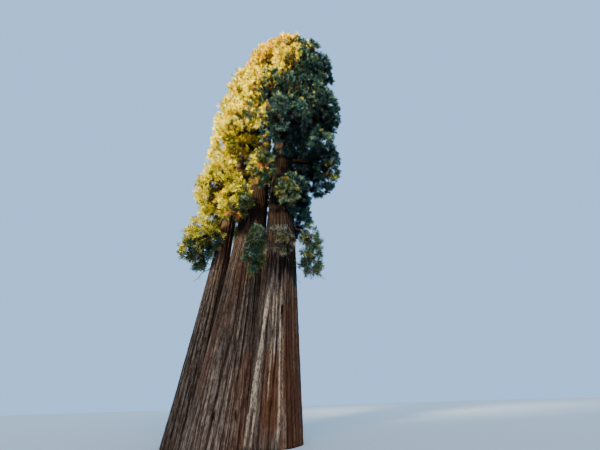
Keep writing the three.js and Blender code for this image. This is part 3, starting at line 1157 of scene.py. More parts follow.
    def marks(self, turn: np.ndarray, height: np.ndarray) -> dict[str, np.ndarray]:
        """What the finish reads to pick its colours.

        Args:
            turn: Angle round the stem, in radians.
            height: Metres above the ground.

        Returns:
            Relief, streaks, stains and painted light and shade by name, each from 0 to 1.
        """
        ridge, fibre, crumb = self.ridges(turn, height)
        degrees = (np.degrees(turn) + 90 + 180) % 360 - 180  # 0 at the front
        radius = self.stem.radius(height)
        ragged = self.noise(4, self.cells(self.RAGGED_WIDTH), self.RAGGED_RISE, turn, height)
        streaks = [streak.at(degrees, height, ragged, radius) for streak in self.streaks]
        pale = self.noise(8, 2 * self.cells(self.ridge_width), self.RIDGE_RISE, turn, height)
        pale = self.pale_ridges * smooth(pale, *self.PALE_NOISE) * smooth(height, *self.PALE_HEIGHT)
        streak = np.maximum.reduce([*streaks, pale])
        streak = streak * mix(self.IN_FURROW, 1, ridge) * smooth(crumb, *self.ON_CRUMBS)
        red = self.RED * smooth(self.noise(5, self.RED_CELLS, self.RED_RISE, turn, height), *self.RED_NOISE)
        stains_and_painted_light = {"cinnamon_and_sunspot": red, "painted_shade_and_dark_marks": np.zeros_like(turn)}
        for patch in self.patches:
            stain = patch.at(degrees, height, ragged)
            stains_and_painted_light[patch.mark] = np.maximum(stains_and_painted_light[patch.mark], stain)
        relief = sum(weight * part for weight, part in zip(self.WEIGHTS, (ridge, fibre, crumb)))
        return {"relief": relief, "streak": streak, **stains_and_painted_light}

    def heights(self) -> tuple[np.ndarray, np.ndarray]:
        """Where the bark has its rings.

        Returns:
            Heights of the rings of the foot, and of those of the free stem.
        """
        foot = np.linspace(0, self.stem.fork, round(self.stem.fork / self.row) + 1)
        bare = np.arange(self.stem.fork, self.bare_top, self.free_row)
        hidden = np.arange(self.bare_top, self.stem.top() - 1, self.HIDDEN_ROWS * self.free_row)
        return foot, np.concatenate([bare, hidden, [self.stem.top()]])

    def build(self, finish: bpy.types.Material) -> None:
        """Makes the foot and the free stem as two pieces that share their ridges.

        Args:
            finish: Their material.
        """
        foot, free = self.heights()
        name = self.stem.name
        parts = (
            (f"bark_foot_{name}", self.columns, foot, "trunk_base"),
            (f"bark_{name}", self.columns // 2, free, f"{name}_stem"),
        )
        for piece, columns, heights, node in parts:
            mesh = Skin(columns, heights).mesh(piece, self.place, self.marks)
            link(mesh, piece, [finish], [node])


# Boughs and dead limbs


@dataclass(frozen=True)
class Boughs:
    """The limbs from the stems to the middle of each mass, with bark on them.

    Attributes:
        masses: The masses that they carry.
        columns: Faces round a bough.
        rings: Faces along it.
        knots: How far its knots stand out, of its radius.
    """

    masses: list[Mass]
    columns: int = 12
    rings: int = 14
    knots: float = 0.12

    KNOT_CELLS = (5, 0.13)  # round a bough, and along it as a share of its length
    FLECK_CELLS = (5, 0.1)
    FLECK_RED = 0.3
    STEP = 0.01  # share of the length over which a heading is read

    def mesh(self, mass: Mass) -> bpy.types.Mesh:
        """The skin of one bough along its arc, with knots.

        Args:
            mass: The mass that it carries.

        Returns:
            The mesh, in metres of the model.
        """
        across = beside(unit(mass.arc.end - mass.arc.root)[None])[0]

        def place(turn: np.ndarray, share: np.ndarray) -> np.ndarray:
            """Points of the bough from angles and shares of its length."""
            heading = unit(mass.arc.at(share + self.STEP) - mass.arc.at(share - self.STEP))
            other = np.cross(across, heading)
            rough = RoundNoise(SEED + len(mass.name), *self.KNOT_CELLS).at(turn / (2 * math.pi), share)
            radius = mix(*mass.thickness, share) * (1 + self.knots * (2 * rough - 1))
            around = np.cos(turn)[:, None] * across + np.sin(turn)[:, None] * other
            return mass.arc.at(share) + radius[:, None] * around

        def marks(turn: np.ndarray, share: np.ndarray) -> dict[str, np.ndarray]:
            """Relief for the finish. A bough has no stains."""
            none = np.zeros_like(turn)
            rough = RoundNoise(SEED + 7, *self.FLECK_CELLS).at(turn / (2 * math.pi), share)
            return {"relief": rough, "streak": none, "cinnamon_and_sunspot": self.FLECK_RED * rough, "painted_shade_and_dark_marks": none}

        return Skin(self.columns, np.linspace(0, 1, self.rings + 1)).mesh(f"bough_{mass.name}", place, marks)

    def build(self, finish: bpy.types.Material) -> None:
        """Joins the boughs that stand for solids in one piece, and the limbs inside the crown in another.

        Args:
            finish: Their material.
        """
        for name, packed in (("boughs", True), ("inner_limbs", False)):
            group = [mass for mass in self.masses if (f"bough_{mass.name}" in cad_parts) == packed]
            whole = bmesh.new()
            for mass in group:
                one = self.mesh(mass)
                whole.from_mesh(one)
                bpy.data.meshes.remove(one)
            mesh = bpy.data.meshes.new(name)
            whole.to_mesh(mesh)
            whole.free()
            nodes = [f"bough_{mass.name}" for mass in group] if packed else []
            link(mesh, name, [finish], nodes)


@dataclass(frozen=True)
class DeadLimb:
    """A bare dead limb.

    Attributes:
        stem: The stem that it grew from.
        height: Where it leaves that stem.
        end: Its tip.
        thickness: Its radius at the bark.
    """

    stem: Stem
    height: float
    end: tuple[float, float, float]
    thickness: float


@dataclass(frozen=True)
class DeadLimbs:
    """The bare grey limbs under the crown, each with a few side twigs.

    Attributes:
        limbs: The limbs.
        steps: Points along a limb or a twig.
        sides: Its sides.
        taper: Its radius at its last ring but the tip, of that at its root.
        sunk: Where its root is, of the stem's radius.
        arch: Where it arches most, of its length.
        lift: Metres that it rises before it droops, and that again to a metre of its drop.
        crook: Metres that its line is crooked.
        twigs: Side twigs to a limb.
        twig_places: Where they part from it, of its length.
        twig_length: Their length, of the limb's.
        twig_lengths: Shortest and longest, of that.
        twig_spread: How far they part from the limb's way.
        twig_droop: How much they hang.
        twig_bend: How much they bend.
        twig_radius: Their radius, of the limb's, where it is full.
    """

    limbs: tuple[DeadLimb, ...]
    steps: int = 9
    sides: int = 5
    taper: float = 0.25
    sunk: float = 0.9
    arch: float = 0.6
    lift: tuple[float, float] = (0.1, 0.12)
    crook: float = 0.05
    twigs: int = 6
    twig_places: tuple[float, float] = (0.35, 0.9)
    twig_length: float = 0.22
    twig_lengths: tuple[float, float] = (0.5, 1.2)
    twig_spread: float = 0.6
    twig_droop: float = 0.25
    twig_bend: float = 0.12
    twig_radius: float = 0.45

    def paths(self, random: np.random.Generator) -> Iterator[tuple[np.ndarray, float]]:
        """Every limb, each followed by its side twigs.

        Args:
            random: Draws for what is left to chance.

        Yields:
            Points along it, with its radius at its root.
        """
        share = np.linspace(0, 1, self.steps)
        for limb in self.limbs:
            heart = limb.stem.centre(limb.height)
            end = np.array(limb.end)
            out = unit((end - heart) * np.array([1, 1, 0]))
            root = heart + out * (self.sunk * float(limb.stem.radius(limb.height)))
            lift = self.lift[0] + self.lift[1] * abs(end[2] - root[2])
            arc = Arc(root, mix(root, end, self.arch) + UP * lift, end)
            line = arc.at(share)
            line[1:-1] += random.normal(0, self.crook, (self.steps - 2, 3))
            yield line, limb.thickness
            length = float(np.linalg.norm(end - root))
            for place in random.uniform(*self.twig_places, self.twigs):
                start = arc.at(place)
                way = unit(end - root) + random.normal(0, self.twig_spread, 3) - UP * self.twig_droop
                heading = unit(way)
                reach = self.twig_length * length * random.uniform(*self.twig_lengths)
                bend = random.normal(0, self.twig_bend, 3) * reach
                side = Arc(start, start + 0.5 * reach * heading + bend, start + reach * heading)
                yield side.at(share), self.twig_radius * limb.thickness * (1.1 - place)

    def build(self, finish: bpy.types.Material) -> None:
        """Joins them all in one piece.

        Args:
            finish: Its material.
        """
        lines, widths = zip(*self.paths(np.random.default_rng(SEED + 77)))
        taper = np.linspace(1, self.taper, self.steps - 1)
        limbs = tubes(np.stack(lines), np.array(widths)[:, None] * taper, self.sides)
        link(mesh_of("dead_limbs", limbs.points, limbs.triangles), "dead_limbs", [finish], [])


# Foliage


@dataclass(frozen=True)
class Spray:
    """One spray of needles: slender pointed blades that part from a cord, each folded along its middle.

    Attributes:
        angles: Heading of each blade from the cord, in degrees.
        lengths: Their lengths, of the spray's length.
        roots: Where each leaves the cord, of the spray's length.
        lifts: How far each tip stands out of the spray's plane.
        shoulder: Where a blade is widest, of its length.
        width: Half width of a blade, of its length.
        fold: Height of its shoulders over its middle line, of its length.
    """

    angles: tuple[float, ...] = (-62, 62, -40, 40, 0, 8)
    lengths: tuple[float, ...] = (0.55, 0.6, 0.58, 0.52, 0.6, 0.62)
    roots: tuple[float, ...] = (0.02, 0.1, 0.28, 0.34, 0.42, 0.15)
    lifts: tuple[float, ...] = (0.2, -0.15, -0.2, 0.2, 0.0, 0.75)
    shoulder: float = 0.55
    width: float = 0.14
    fold: float = 0.06

    def template(self) -> Solid:
        """The spray as a mesh to be laid at many places.

        Returns:
            A spray one metre long, along X with its flat to Z.
        """
        points, triangles = [], []
        for angle, length, root, lift in zip(self.angles, self.lengths, self.roots, self.lifts):
            turn = math.radians(angle)
            along = np.array([math.cos(turn), math.sin(turn), lift])
            aside = self.width * length * np.array([-math.sin(turn), math.cos(turn), 0.0])
            foot = np.array([root, 0.0, 0.0])
            middle = foot + self.shoulder * length * along + self.fold * length * UP
            start = len(points)
            points += [foot, middle - aside, foot + length * along, middle + aside]
            triangles += [(start, start + 1, start + 2), (start, start + 2, start + 3)]
        return Solid(np.array(points), np.array(triangles))


class Palette(Enum):
    """The tints of each part of the crown, with their shares: painted low sun, painted half sun and painted
    shade.
    """

    DRY = ((0.55, Tint.DRY), (0.25, Tint.OLIVE), (0.2, Tint.GREY_GREEN))
    HANGING = ((0.2, Tint.GREY_GREEN), (0.25, Tint.OLIVE), (0.45, Tint.GREEN), (0.1, Tint.DRY))
    # Painted shade, deeper and cooler high in the crown and milder lower down.
    COOL = ((0.24, Tint.DEEP), (0.4, Tint.BLUE_GREEN), (0.3, Tint.GREEN), (0.06, Tint.OLIVE))
    MILD = ((0.36, Tint.BLUE_GREEN), (0.3, Tint.GREEN), (0.3, Tint.GREY_GREEN), (0.04, Tint.OLIVE))
    # Painted half sun at the edge of the sunlit side.
    BETWEEN = ((0.4, Tint.OLIVE), (0.25, Tint.UMBER), (0.2, Tint.GREEN), (0.15, Tint.AMBER))
    # Painted low sunlight, high in the crown and lower down.
    HIGH_SUN = (
        (0.4, Tint.GOLD),
        (0.22, Tint.YELLOW_GREEN),
        (0.2, Tint.OLIVE),
        (0.06, Tint.AMBER),
        (0.12, Tint.UMBER),
    )
    LOW_SUN = (
        (0.45, Tint.PALE_GOLD),
        (0.1, Tint.GOLD),
        (0.25, Tint.YELLOW_GREEN),
        (0.12, Tint.OLIVE),
        (0.08, Tint.UMBER),
    )
    # Painted glints of low sun.
    AMBER_GLINT = ((0.6, Tint.AMBER), (0.15, Tint.GOLD), (0.25, Tint.OLIVE))
    GOLDEN_GLINT = ((0.3, Tint.GOLD), (0.3, Tint.YELLOW_GREEN), (0.4, Tint.OLIVE))

    def pick(self, chance: np.ndarray) -> np.ndarray:
        """The number of the tint whose stretch of the chances holds each spray's own."""
        ends = np.cumsum([share for share, _ in self.value])
        numbers = np.array([tint.number for _, tint in self.value])
        return numbers[np.minimum(np.searchsorted(ends, chance), len(numbers) - 1)]


@dataclass(frozen=True)
class Growth:
    """What grew in one mass.

    Attributes:
        branches: Its branches.
        twigs: Its twigs.
        roots: Where each spray leaves its twig.
        frames: Each spray's axes, scaled by its length.
        light: How far each spray faces the painted sun, with its seeded share.
        depth: How deep each spray is in the mass, from 0 at the outline.
    """

    branches: Solid
    twigs: Solid
    roots: np.ndarray
    frames: np.ndarray
    light: np.ndarray
    depth: np.ndarray


@dataclass(frozen=True)
class Glint:
    """A place where a shaft of low sun is painted on the sprays.

    Attributes:
        centre: Its middle.
        radius: How far it reaches.
        palette: The tints of the needles there.
    """

    centre: tuple[float, float, float]
    radius: float
    palette: Palette


@dataclass
class Foliage:
    """Branches, twigs and sprays that fill each mass's own space. Their tints paint the low sun on the
    crown's left side and the shade on the rest.

    A pair of numbers "by kind" is for the masses in the crown's levels and for the low ones.

    Attributes:
        crown: The layout of the masses.
        masses: The masses.
        clumps: Where tufts crowd and where they leave dark pockets.
        pocket: Share of a mass's reach by which its surface sinks in a pocket, by kind.
        tuft_area: Square metres of a mass's surface to a tuft, by kind.
        tuft_reach: Metres that a tuft's sprays stand out of its middle.
        inner_share: Tufts inside a mass, of those at its surface.
        inner_reach: How far out they are, of the mass's reach.
        uneven: Share of a mass's reach by which its tufts differ, by kind.
        scatter: How far tufts stray from an even spacing.
        outward: How far tufts are drawn to the outer side.
        branch_from: Where on the mass's limb its branches begin, of its length.
        branch_radius: At the root and at the end, in metres.
        twigs: Twigs to a tuft.
        spread: How far a tuft's twigs part, in degrees.
        twig_length: Shortest and longest, in metres.
        twig_radius: At the root, in metres.
        sprays: Sprays to a twig.
        spray_length: Shortest and longest, in metres.
        spray_angle: Degrees from the twig, at its foot and at its tip.
        droop: How much twigs hang, by kind, and in the levels less towards the top.
        sun: Direction of the low sun that is painted on the golden side.
        sunlit: Heights, each with the X up to which the sun is painted there.
        dry: Masses whose needles are mostly dry.
        open: Share of its tufts that an open mass has.
        bare: Share of its sprays that a thin mass has, with the rest of its twigs bare.
        glints: Places where a shaft of the low sun is painted.
        limit: Most triangles in a piece.
    """

    crown: Crown
    masses: list[Mass]
    clumps: Clumps = Clumps(SEED + 55, 3.4)
    pocket: tuple[float, float] = (0.24, 0.1)
    tuft_area: tuple[float, float] = (2.0, 1.5)
    tuft_reach: float = 0.55
    inner_share: float = 0.4
    inner_reach: float = 0.6
    uneven: tuple[float, float] = (0.1, 0.3)
    scatter: float = 0.12
    outward: float = 0.15
    branch_from: float = 0.72
    branch_radius: tuple[float, float] = (0.05, 0.02)
    twigs: int = 4
    spread: float = 75.0
    twig_length: tuple[float, float] = (0.4, 0.7)
    twig_radius: float = 0.013
    sprays: int = 6
    spray_length: tuple[float, float] = (0.34, 0.56)
    spray_angle: tuple[float, float] = (70, 18)
    droop: tuple[float, float] = (0.2, 0.7)
    sun: tuple[float, float, float] = (-0.97, -0.05, 0.22)
    sunlit: tuple[tuple[float, float], ...] = (
        (9, -6.3),
        (11.2, -5.0),
        (12.3, -3.0),
        (14, -1.1),
        (17, -0.6),
        (21, -1.7),
        (27, -1.7),
        (30, -0.6),
        (34, 1.6),
        (45, 2.7),
    )
    dry: tuple[str, ...] = ("right_front",)
    open: dict[str, float] = field(
        default_factory=lambda: {"right_front": 0.6, "right_low": 0.75, "left_low": 0.85}
    )
    bare: dict[str, float] = field(default_factory=lambda: {"right_front": 0.4, "right_low": 0.75})
    glints: tuple[Glint, ...] = ()
    limit: int = 199_000

    APART = 14.0  # metres between the middles of masses that can't touch
    CLEAR = 0.1  # metres kept free round a stem
    FEWEST_TUFTS = 10
    PULLED_IN = np.linspace(1, 0.3, 15)  # shares of its reach at which a tuft looks for room
    LEADER = (0.75, 0.1)  # X and Y of the topmost tufts
    LEADER_TUFTS = (0.75, 1.5, 2.3)  # metres under the top
    BRANCH_STEPS = 5
    BRANCH_ARCH = 0.15  # metres that its middle rises, and that it strays
    TWIG_ROOT = 0.2  # metres from its tuft's middle back to its root
    TWIG_ARCH = 0.06
    TWIG_TAPER = 0.7  # its radius halfway, of that at its root
    TWIG_LIFT = 0.3  # how much its way out of the mass is turned up
    FIRST_TWIG = 0.35  # how far the first one is from the middle of the tuft's spread, in twigs
    HEART = 0.85  # where on its limb the heart of a mass is
    FIRST_SPRAY = 0.25  # of the twig's length
    SPRAY_STRAY = (0.15, 0.25)  # radians that a spray's angle strays, and how far it is turned

    SUN_EDGE = 3.0  # metres over which the painted sun fades
    FACING = (0.25, 0.3)  # painted light by a spray's place in its mass and by its heading
    STRAY_LIGHT = (0.2, 0.16, 0.14)  # left to chance for a tuft, for a twig and for a spray
    COOL_HEIGHT = (18, 36)  # heights between which the painted shade turns cool
    GOLD_HEIGHT = (28, 46)  # and those between which the painted sun turns from pale gold to gold
    POCKET = (0.1, 0.25)  # how full a place that may get painted deep shade is, and what chance adds
    DARKER = (0.2, 0.15)  # painted light lost deep in a mass and in a pocket
    IN_SUN, IN_HALF_SUN = 0.12, -0.02  # least painted light for sun and for half sun
    INSIDE = (0.5, 0.75)  # depth at which sprays get painted deep shade, by kind
    INSIDE_SHARE = 0.85  # of the sprays there
    WARM_SHADE = 0.1  # painted light over which their painted shade is warm

    def hangs(self, mass: Mass) -> bool:
        """Whether a mass is one of the low ones that hang by the stems."""
        return mass.thickness == self.crown.hanging and mass.name != "top"

    def own(self, mass: Mass, points: np.ndarray) -> np.ndarray:
        """Which points are in a mass's own space.

        Args:
            mass: The mass.
            points: Points, in the last axis.

        Returns:
            Whether each is in the mass, no nearer to another mass, and out of the stems.
        """
        here = mass.within(points)
        free = here <= 1
        for other in self.masses:
            if other is not mass and np.linalg.norm(other.centre - mass.centre) < self.APART:
                free &= here <= other.within(points) - self.crown.cell_margin / 2
        for stem in STEMS:
            off = np.linalg.norm((points - stem.centre(points[..., 2]))[..., :2], axis=-1)
            free &= (off > stem.radius(points[..., 2]) + self.CLEAR) | (points[..., 2] > stem.top())
        return free

    def tufts(self, mass: Mass, random: np.random.Generator) -> np.ndarray:
        """A shell of tufts under a mass's outline, and some inside.

        Args:
            mass: The mass.
            random: Draws for what is left to chance.

        Returns:
            Their middles, one a row.
        """
        hangs = self.hangs(mass)
        outer = max(round(mass.surface() / self.tuft_area[hangs]), self.FEWEST_TUFTS)
        inner = round(outer * self.inner_share)
        sinks = self.pocket[mass.thickness == self.crown.hanging]
        drawn = np.array([0 if hangs else self.outward, 0, 0])
        places = []
        for count, most in ((outer, 1.0), (inner, self.inner_reach)):
            directions = ball_spiral(count, random.uniform(0, 2 * math.pi))
            directions = unit(directions + drawn + random.normal(0, self.scatter, (count, 3)))
            length = np.linalg.norm(directions * mass.radii, axis=-1)
            reach = most * (1 - self.tuft_reach / np.maximum(length, 2 * self.tuft_reach))
            reach = reach * random.uniform(1 - self.uneven[hangs], 1.0, count)
            full = self.clumps.at(mass.place(directions * reach[:, None]))
            reach = reach * (1 - sinks * (1 - full))
            points = mass.place(directions[:, None] * (reach[:, None] * self.PULLED_IN)[..., None])
            free = self.own(mass, points)
            index = np.arange(count)
            first = np.argmax(free, axis=1)
            kept = free[index, first] & (random.random(count) < self.open.get(mass.name, 1.0))
            places.append(points[index, first][kept])
        return np.concatenate(places)

    def grow(self, mass: Mass, index: int) -> Growth:
        """Grows one mass.

        Args:
            mass: The mass.
            index: Its number, which seeds it.

        Returns:
            Its branches, its twigs and the places of its sprays.
        """
        random = np.random.default_rng(SEED + 31 * index)
        middles = self.tufts(mass, random)
        if mass.name == "top":
            leader = [[*self.LEADER, REAL_HEIGHT - below] for below in self.LEADER_TUFTS]
            middles = np.concatenate([middles, np.array(leader)])
        branches = self.branches(mass, middles, random)
        headings, chance = self.twig_headings(mass, middles, random)
        lengths = random.uniform(*self.twig_length, headings.shape[:2])[..., None]
        twig_roots = middles[:, None] - self.TWIG_ROOT * headings
        twig_tips = twig_roots + headings * lengths
        bends = mix(twig_roots, twig_tips, 0.5) + UP * self.TWIG_ARCH
        paths = np.stack([twig_roots, bends, twig_tips], axis=2).reshape(-1, 3, 3)
        radii = np.broadcast_to([self.twig_radius, self.TWIG_TAPER * self.twig_radius], (len(paths), 2))
        twigs = tubes(paths, radii, 3)
        roots, frames, light = self.spray_frames(mass, twig_roots, headings, lengths, chance, random)
        tips = roots + frames[:, 0]
        kept = self.own(mass, tips)
        if mass.name == "top":
            kept |= tips[:, 2] > mass.centre[2] + mass.radii[2] - 1
        kept &= (tips[:, 2] < REAL_HEIGHT) & (random.random(len(tips)) < self.bare.get(mass.name, 1.0))
        depth = 1 - np.clip(mass.within(roots), 0, 1)
        return Growth(branches, twigs, roots[kept], frames[kept], light[kept], depth[kept])

    def branches(self, mass: Mass, middles: np.ndarray, random: np.random.Generator) -> Solid:
        """Branches from a mass's limb.

        Args:
            mass: The mass.
            middles: Middles of its tufts, where they end.
            random: Draws for what is left to chance.

        Returns:
            All of them joined.
        """
        starts = mass.arc.at(random.uniform(self.branch_from, 1.0, len(middles)))
        strays = random.normal(0, self.BRANCH_ARCH, middles.shape)
        bends = mix(starts, middles, 0.5) + strays + UP * self.BRANCH_ARCH
        arcs = Arc(starts[:, None], bends[:, None], middles[:, None])
        rings = self.BRANCH_STEPS - 1
        radii = np.broadcast_to(np.linspace(*self.branch_radius, rings), (len(middles), rings))
        return tubes(arcs.at(np.linspace(0, 1, self.BRANCH_STEPS)), radii, 4)

    def twig_headings(
        self, mass: Mass, middles: np.ndarray, random: np.random.Generator
    ) -> tuple[np.ndarray, np.ndarray]:
        """The ways that each tuft's twigs take, round the way out of the mass.

        Args:
            mass: The mass.
            middles: Middles of its tufts.
            random: Draws for what is left to chance.

        Returns:
            Unit vectors, as tufts by twigs by 3, and the seeded part of each twig's light.
        """
        out = unit(middles - mass.arc.at(self.HEART) + UP * self.TWIG_LIFT)
        side = beside(out)
        other = np.cross(out, side)
        number = np.arange(self.twigs)
        part = math.radians(self.spread) * np.sqrt((number + self.FIRST_TWIG) / self.twigs)
        turn = random.uniform(0, 2 * math.pi, (len(middles), 1)) + number * GOLDEN_ANGLE
        headings = (
            np.cos(part)[None, :, None] * out[:, None]
            + (np.sin(part) * np.cos(turn))[..., None] * side[:, None]
            + (np.sin(part) * np.sin(turn))[..., None] * other[:, None]
        )
        less = 1 if self.hangs(mass) else 1 - self.crown.share(mass.centre[2])
        headings = unit(headings - UP * (self.droop[self.hangs(mass)] * less))
        by_tuft = random.normal(0, self.STRAY_LIGHT[0], (len(middles), 1))
        return headings, by_tuft + random.normal(0, self.STRAY_LIGHT[1], headings.shape[:2])

    def spray_frames(
        self,
        mass: Mass,
        twig_roots: np.ndarray,
        headings: np.ndarray,
        lengths: np.ndarray,
        chance: np.ndarray,
        random: np.random.Generator,
    ) -> tuple[np.ndarray, np.ndarray, np.ndarray]:
        """The sprays along the twigs of a mass.

        Args:
            mass: The mass.
            twig_roots: Where its twigs begin, as tufts by twigs by 3.
            headings: Their ways.
            lengths: Their lengths.
            chance: The seeded part of their light.
            random: Draws for what is left to chance.

        Returns:
            Root, scaled axes and light of every spray, one a row.
        """
        tufts, twigs = headings.shape[:2]
        shape = (tufts, twigs, self.sprays)
        along = np.linspace(self.FIRST_SPRAY, 1.0, self.sprays)
        twig = headings[:, :, None]
        roots = twig_roots[:, :, None] + twig * (lengths[..., None] * along[:, None])
        side = beside(headings)[:, :, None]
        other = np.cross(twig, side)
        turn = random.uniform(0, 2 * math.pi, (tufts, twigs, 1)) + np.arange(self.sprays) * GOLDEN_ANGLE
        part = np.radians(mix(*self.spray_angle, along)) + random.normal(0, self.SPRAY_STRAY[0], shape)
        radial = np.cos(turn)[..., None] * side + np.sin(turn)[..., None] * other
        heading = unit(np.cos(part)[..., None] * twig + np.sin(part)[..., None] * radial)
        across = unit(np.cross(twig, heading) + random.normal(0, self.SPRAY_STRAY[1], (*shape, 3)))
        flat = unit(np.cross(heading, across))
        across = np.cross(flat, heading)
        size = random.uniform(*self.spray_length, shape)[..., None]
        frames = np.stack([heading * size, across * size, flat * size], axis=-2)
        edge = np.interp(roots[..., 2], *zip(*self.sunlit))
        facing = self.FACING[0] * (roots - mass.centre) / mass.radii + self.FACING[1] * heading
        light = (edge - roots[..., 0]) / self.SUN_EDGE + facing @ np.array(self.sun)
        light = light + chance[..., None] + random.normal(0, self.STRAY_LIGHT[2], shape)
        return roots.reshape(-1, 3), frames.reshape(-1, 3, 3), light.ravel()

    def deal(self, mass: Mass, growth: Growth, random: np.random.Generator) -> np.ndarray:
        """Deals the tints of a mass, which paint the low sun and the shade on its sprays.

        Args:
            mass: The mass.
            growth: Its sprays.
            random: Draws for what is left to chance.

        Returns:
            The number of each spray's tint.
        """
        count = len(growth.roots)
        height = growth.roots[:, 2]
        chance = random.random(count)
        full = self.clumps.at(growth.roots)
        upper = random.random(count) < smooth(height, *self.COOL_HEIGHT)
        if mass.name in self.dry:
            shade = Palette.DRY.pick(chance)
        elif self.hangs(mass):
            shade = Palette.HANGING.pick(chance)
        else:
            shade = np.where(upper, Palette.COOL.pick(chance), Palette.MILD.pick(chance))
            # Sprays in a pocket between clumps get painted deep shade.
            pocket = full < self.POCKET[0] + self.POCKET[1] * random.random(count)
            shade = np.where(pocket, Tint.DEEP.number, shade)
        high = random.random(count) < smooth(height, *self.GOLD_HEIGHT)
        sunlit = np.where(high, Palette.HIGH_SUN.pick(chance), Palette.LOW_SUN.pick(chance))
        level = growth.light - self.DARKER[0] * growth.depth - self.DARKER[1] * (1 - full) ** 2
        tint = np.where(level > self.IN_HALF_SUN, Palette.BETWEEN.pick(chance), shade)
        tint = np.where(level > self.IN_SUN, sunlit, tint)
        # Sprays deep in a mass get painted deep shade, warm where the painted sun is near.
        inside = (growth.depth > self.INSIDE[self.hangs(mass)]) & (chance < self.INSIDE_SHARE)
        tint = np.where(inside, Tint.DEEP.number, tint)
        tint = np.where(inside & (growth.light > self.WARM_SHADE), Tint.UMBER.number, tint)
        for glint in self.glints:
            off = np.linalg.norm(growth.roots - np.array(glint.centre), axis=1) / glint.radius
            tint = np.where(off < 0.5 + 0.5 * chance, glint.palette.pick(chance), tint)
        return tint

    def groups(self, sizes: list[int]) -> list[list[int]]:
        """Masses in their order, put together in pieces.

        Args:
            sizes: Triangles of each mass.

        Returns:
            The numbers of the masses in each piece.
        """
        found: list[list[int]] = [[]]
        total = 0
        for index, size in enumerate(sizes):
            if found[-1] and total + size > self.limit:
                found.append([])
                total = 0
            found[-1].append(index)
            total += size
        return found

    def build(self, wood: bpy.types.Material) -> None:
        """Grows every mass and joins branches, twigs and sprays, each kind apart.

        Args:
            wood: Material of the branches and twigs.
        """
        grown = [self.grow(mass, index) for index, mass in enumerate(self.masses)]
        for kind in ("branches", "twigs"):
            whole = Solid.joined([getattr(growth, kind) for growth in grown])
            link(mesh_of(kind, whole.points, whole.triangles), kind, [wood], [])
        template = Spray().template()
        finishes = [tint.value.material() for tint in Tint]
        sizes = [len(growth.roots) * len(template.triangles) for growth in grown]
        for number, group in enumerate(self.groups(sizes), 1):
            roots = np.concatenate([grown[i].roots for i in group])
            frames = np.concatenate([grown[i].frames for i in group])
            points = roots[:, None] + template.points @ frames
            starts = np.arange(len(roots))[:, None, None] * len(template.points)
            triangles = (template.triangles[None] + starts).reshape(-1, 3)
            mesh = mesh_of(f"sprays_{number}", points.reshape(-1, 3), triangles)
            chances = np.random.default_rng(SEED + number)
            tints = np.concatenate([self.deal(self.masses[i], grown[i], chances) for i in group])
            nodes = [f"foliage_{self.masses[i].name}" for i in group]
            link(mesh, f"sprays_{number}", finishes, nodes)
            by_face = np.repeat(tints, len(template.triangles)).astype(np.int32)
            mesh.polygons.foreach_set("material_index", by_face)


# Setting


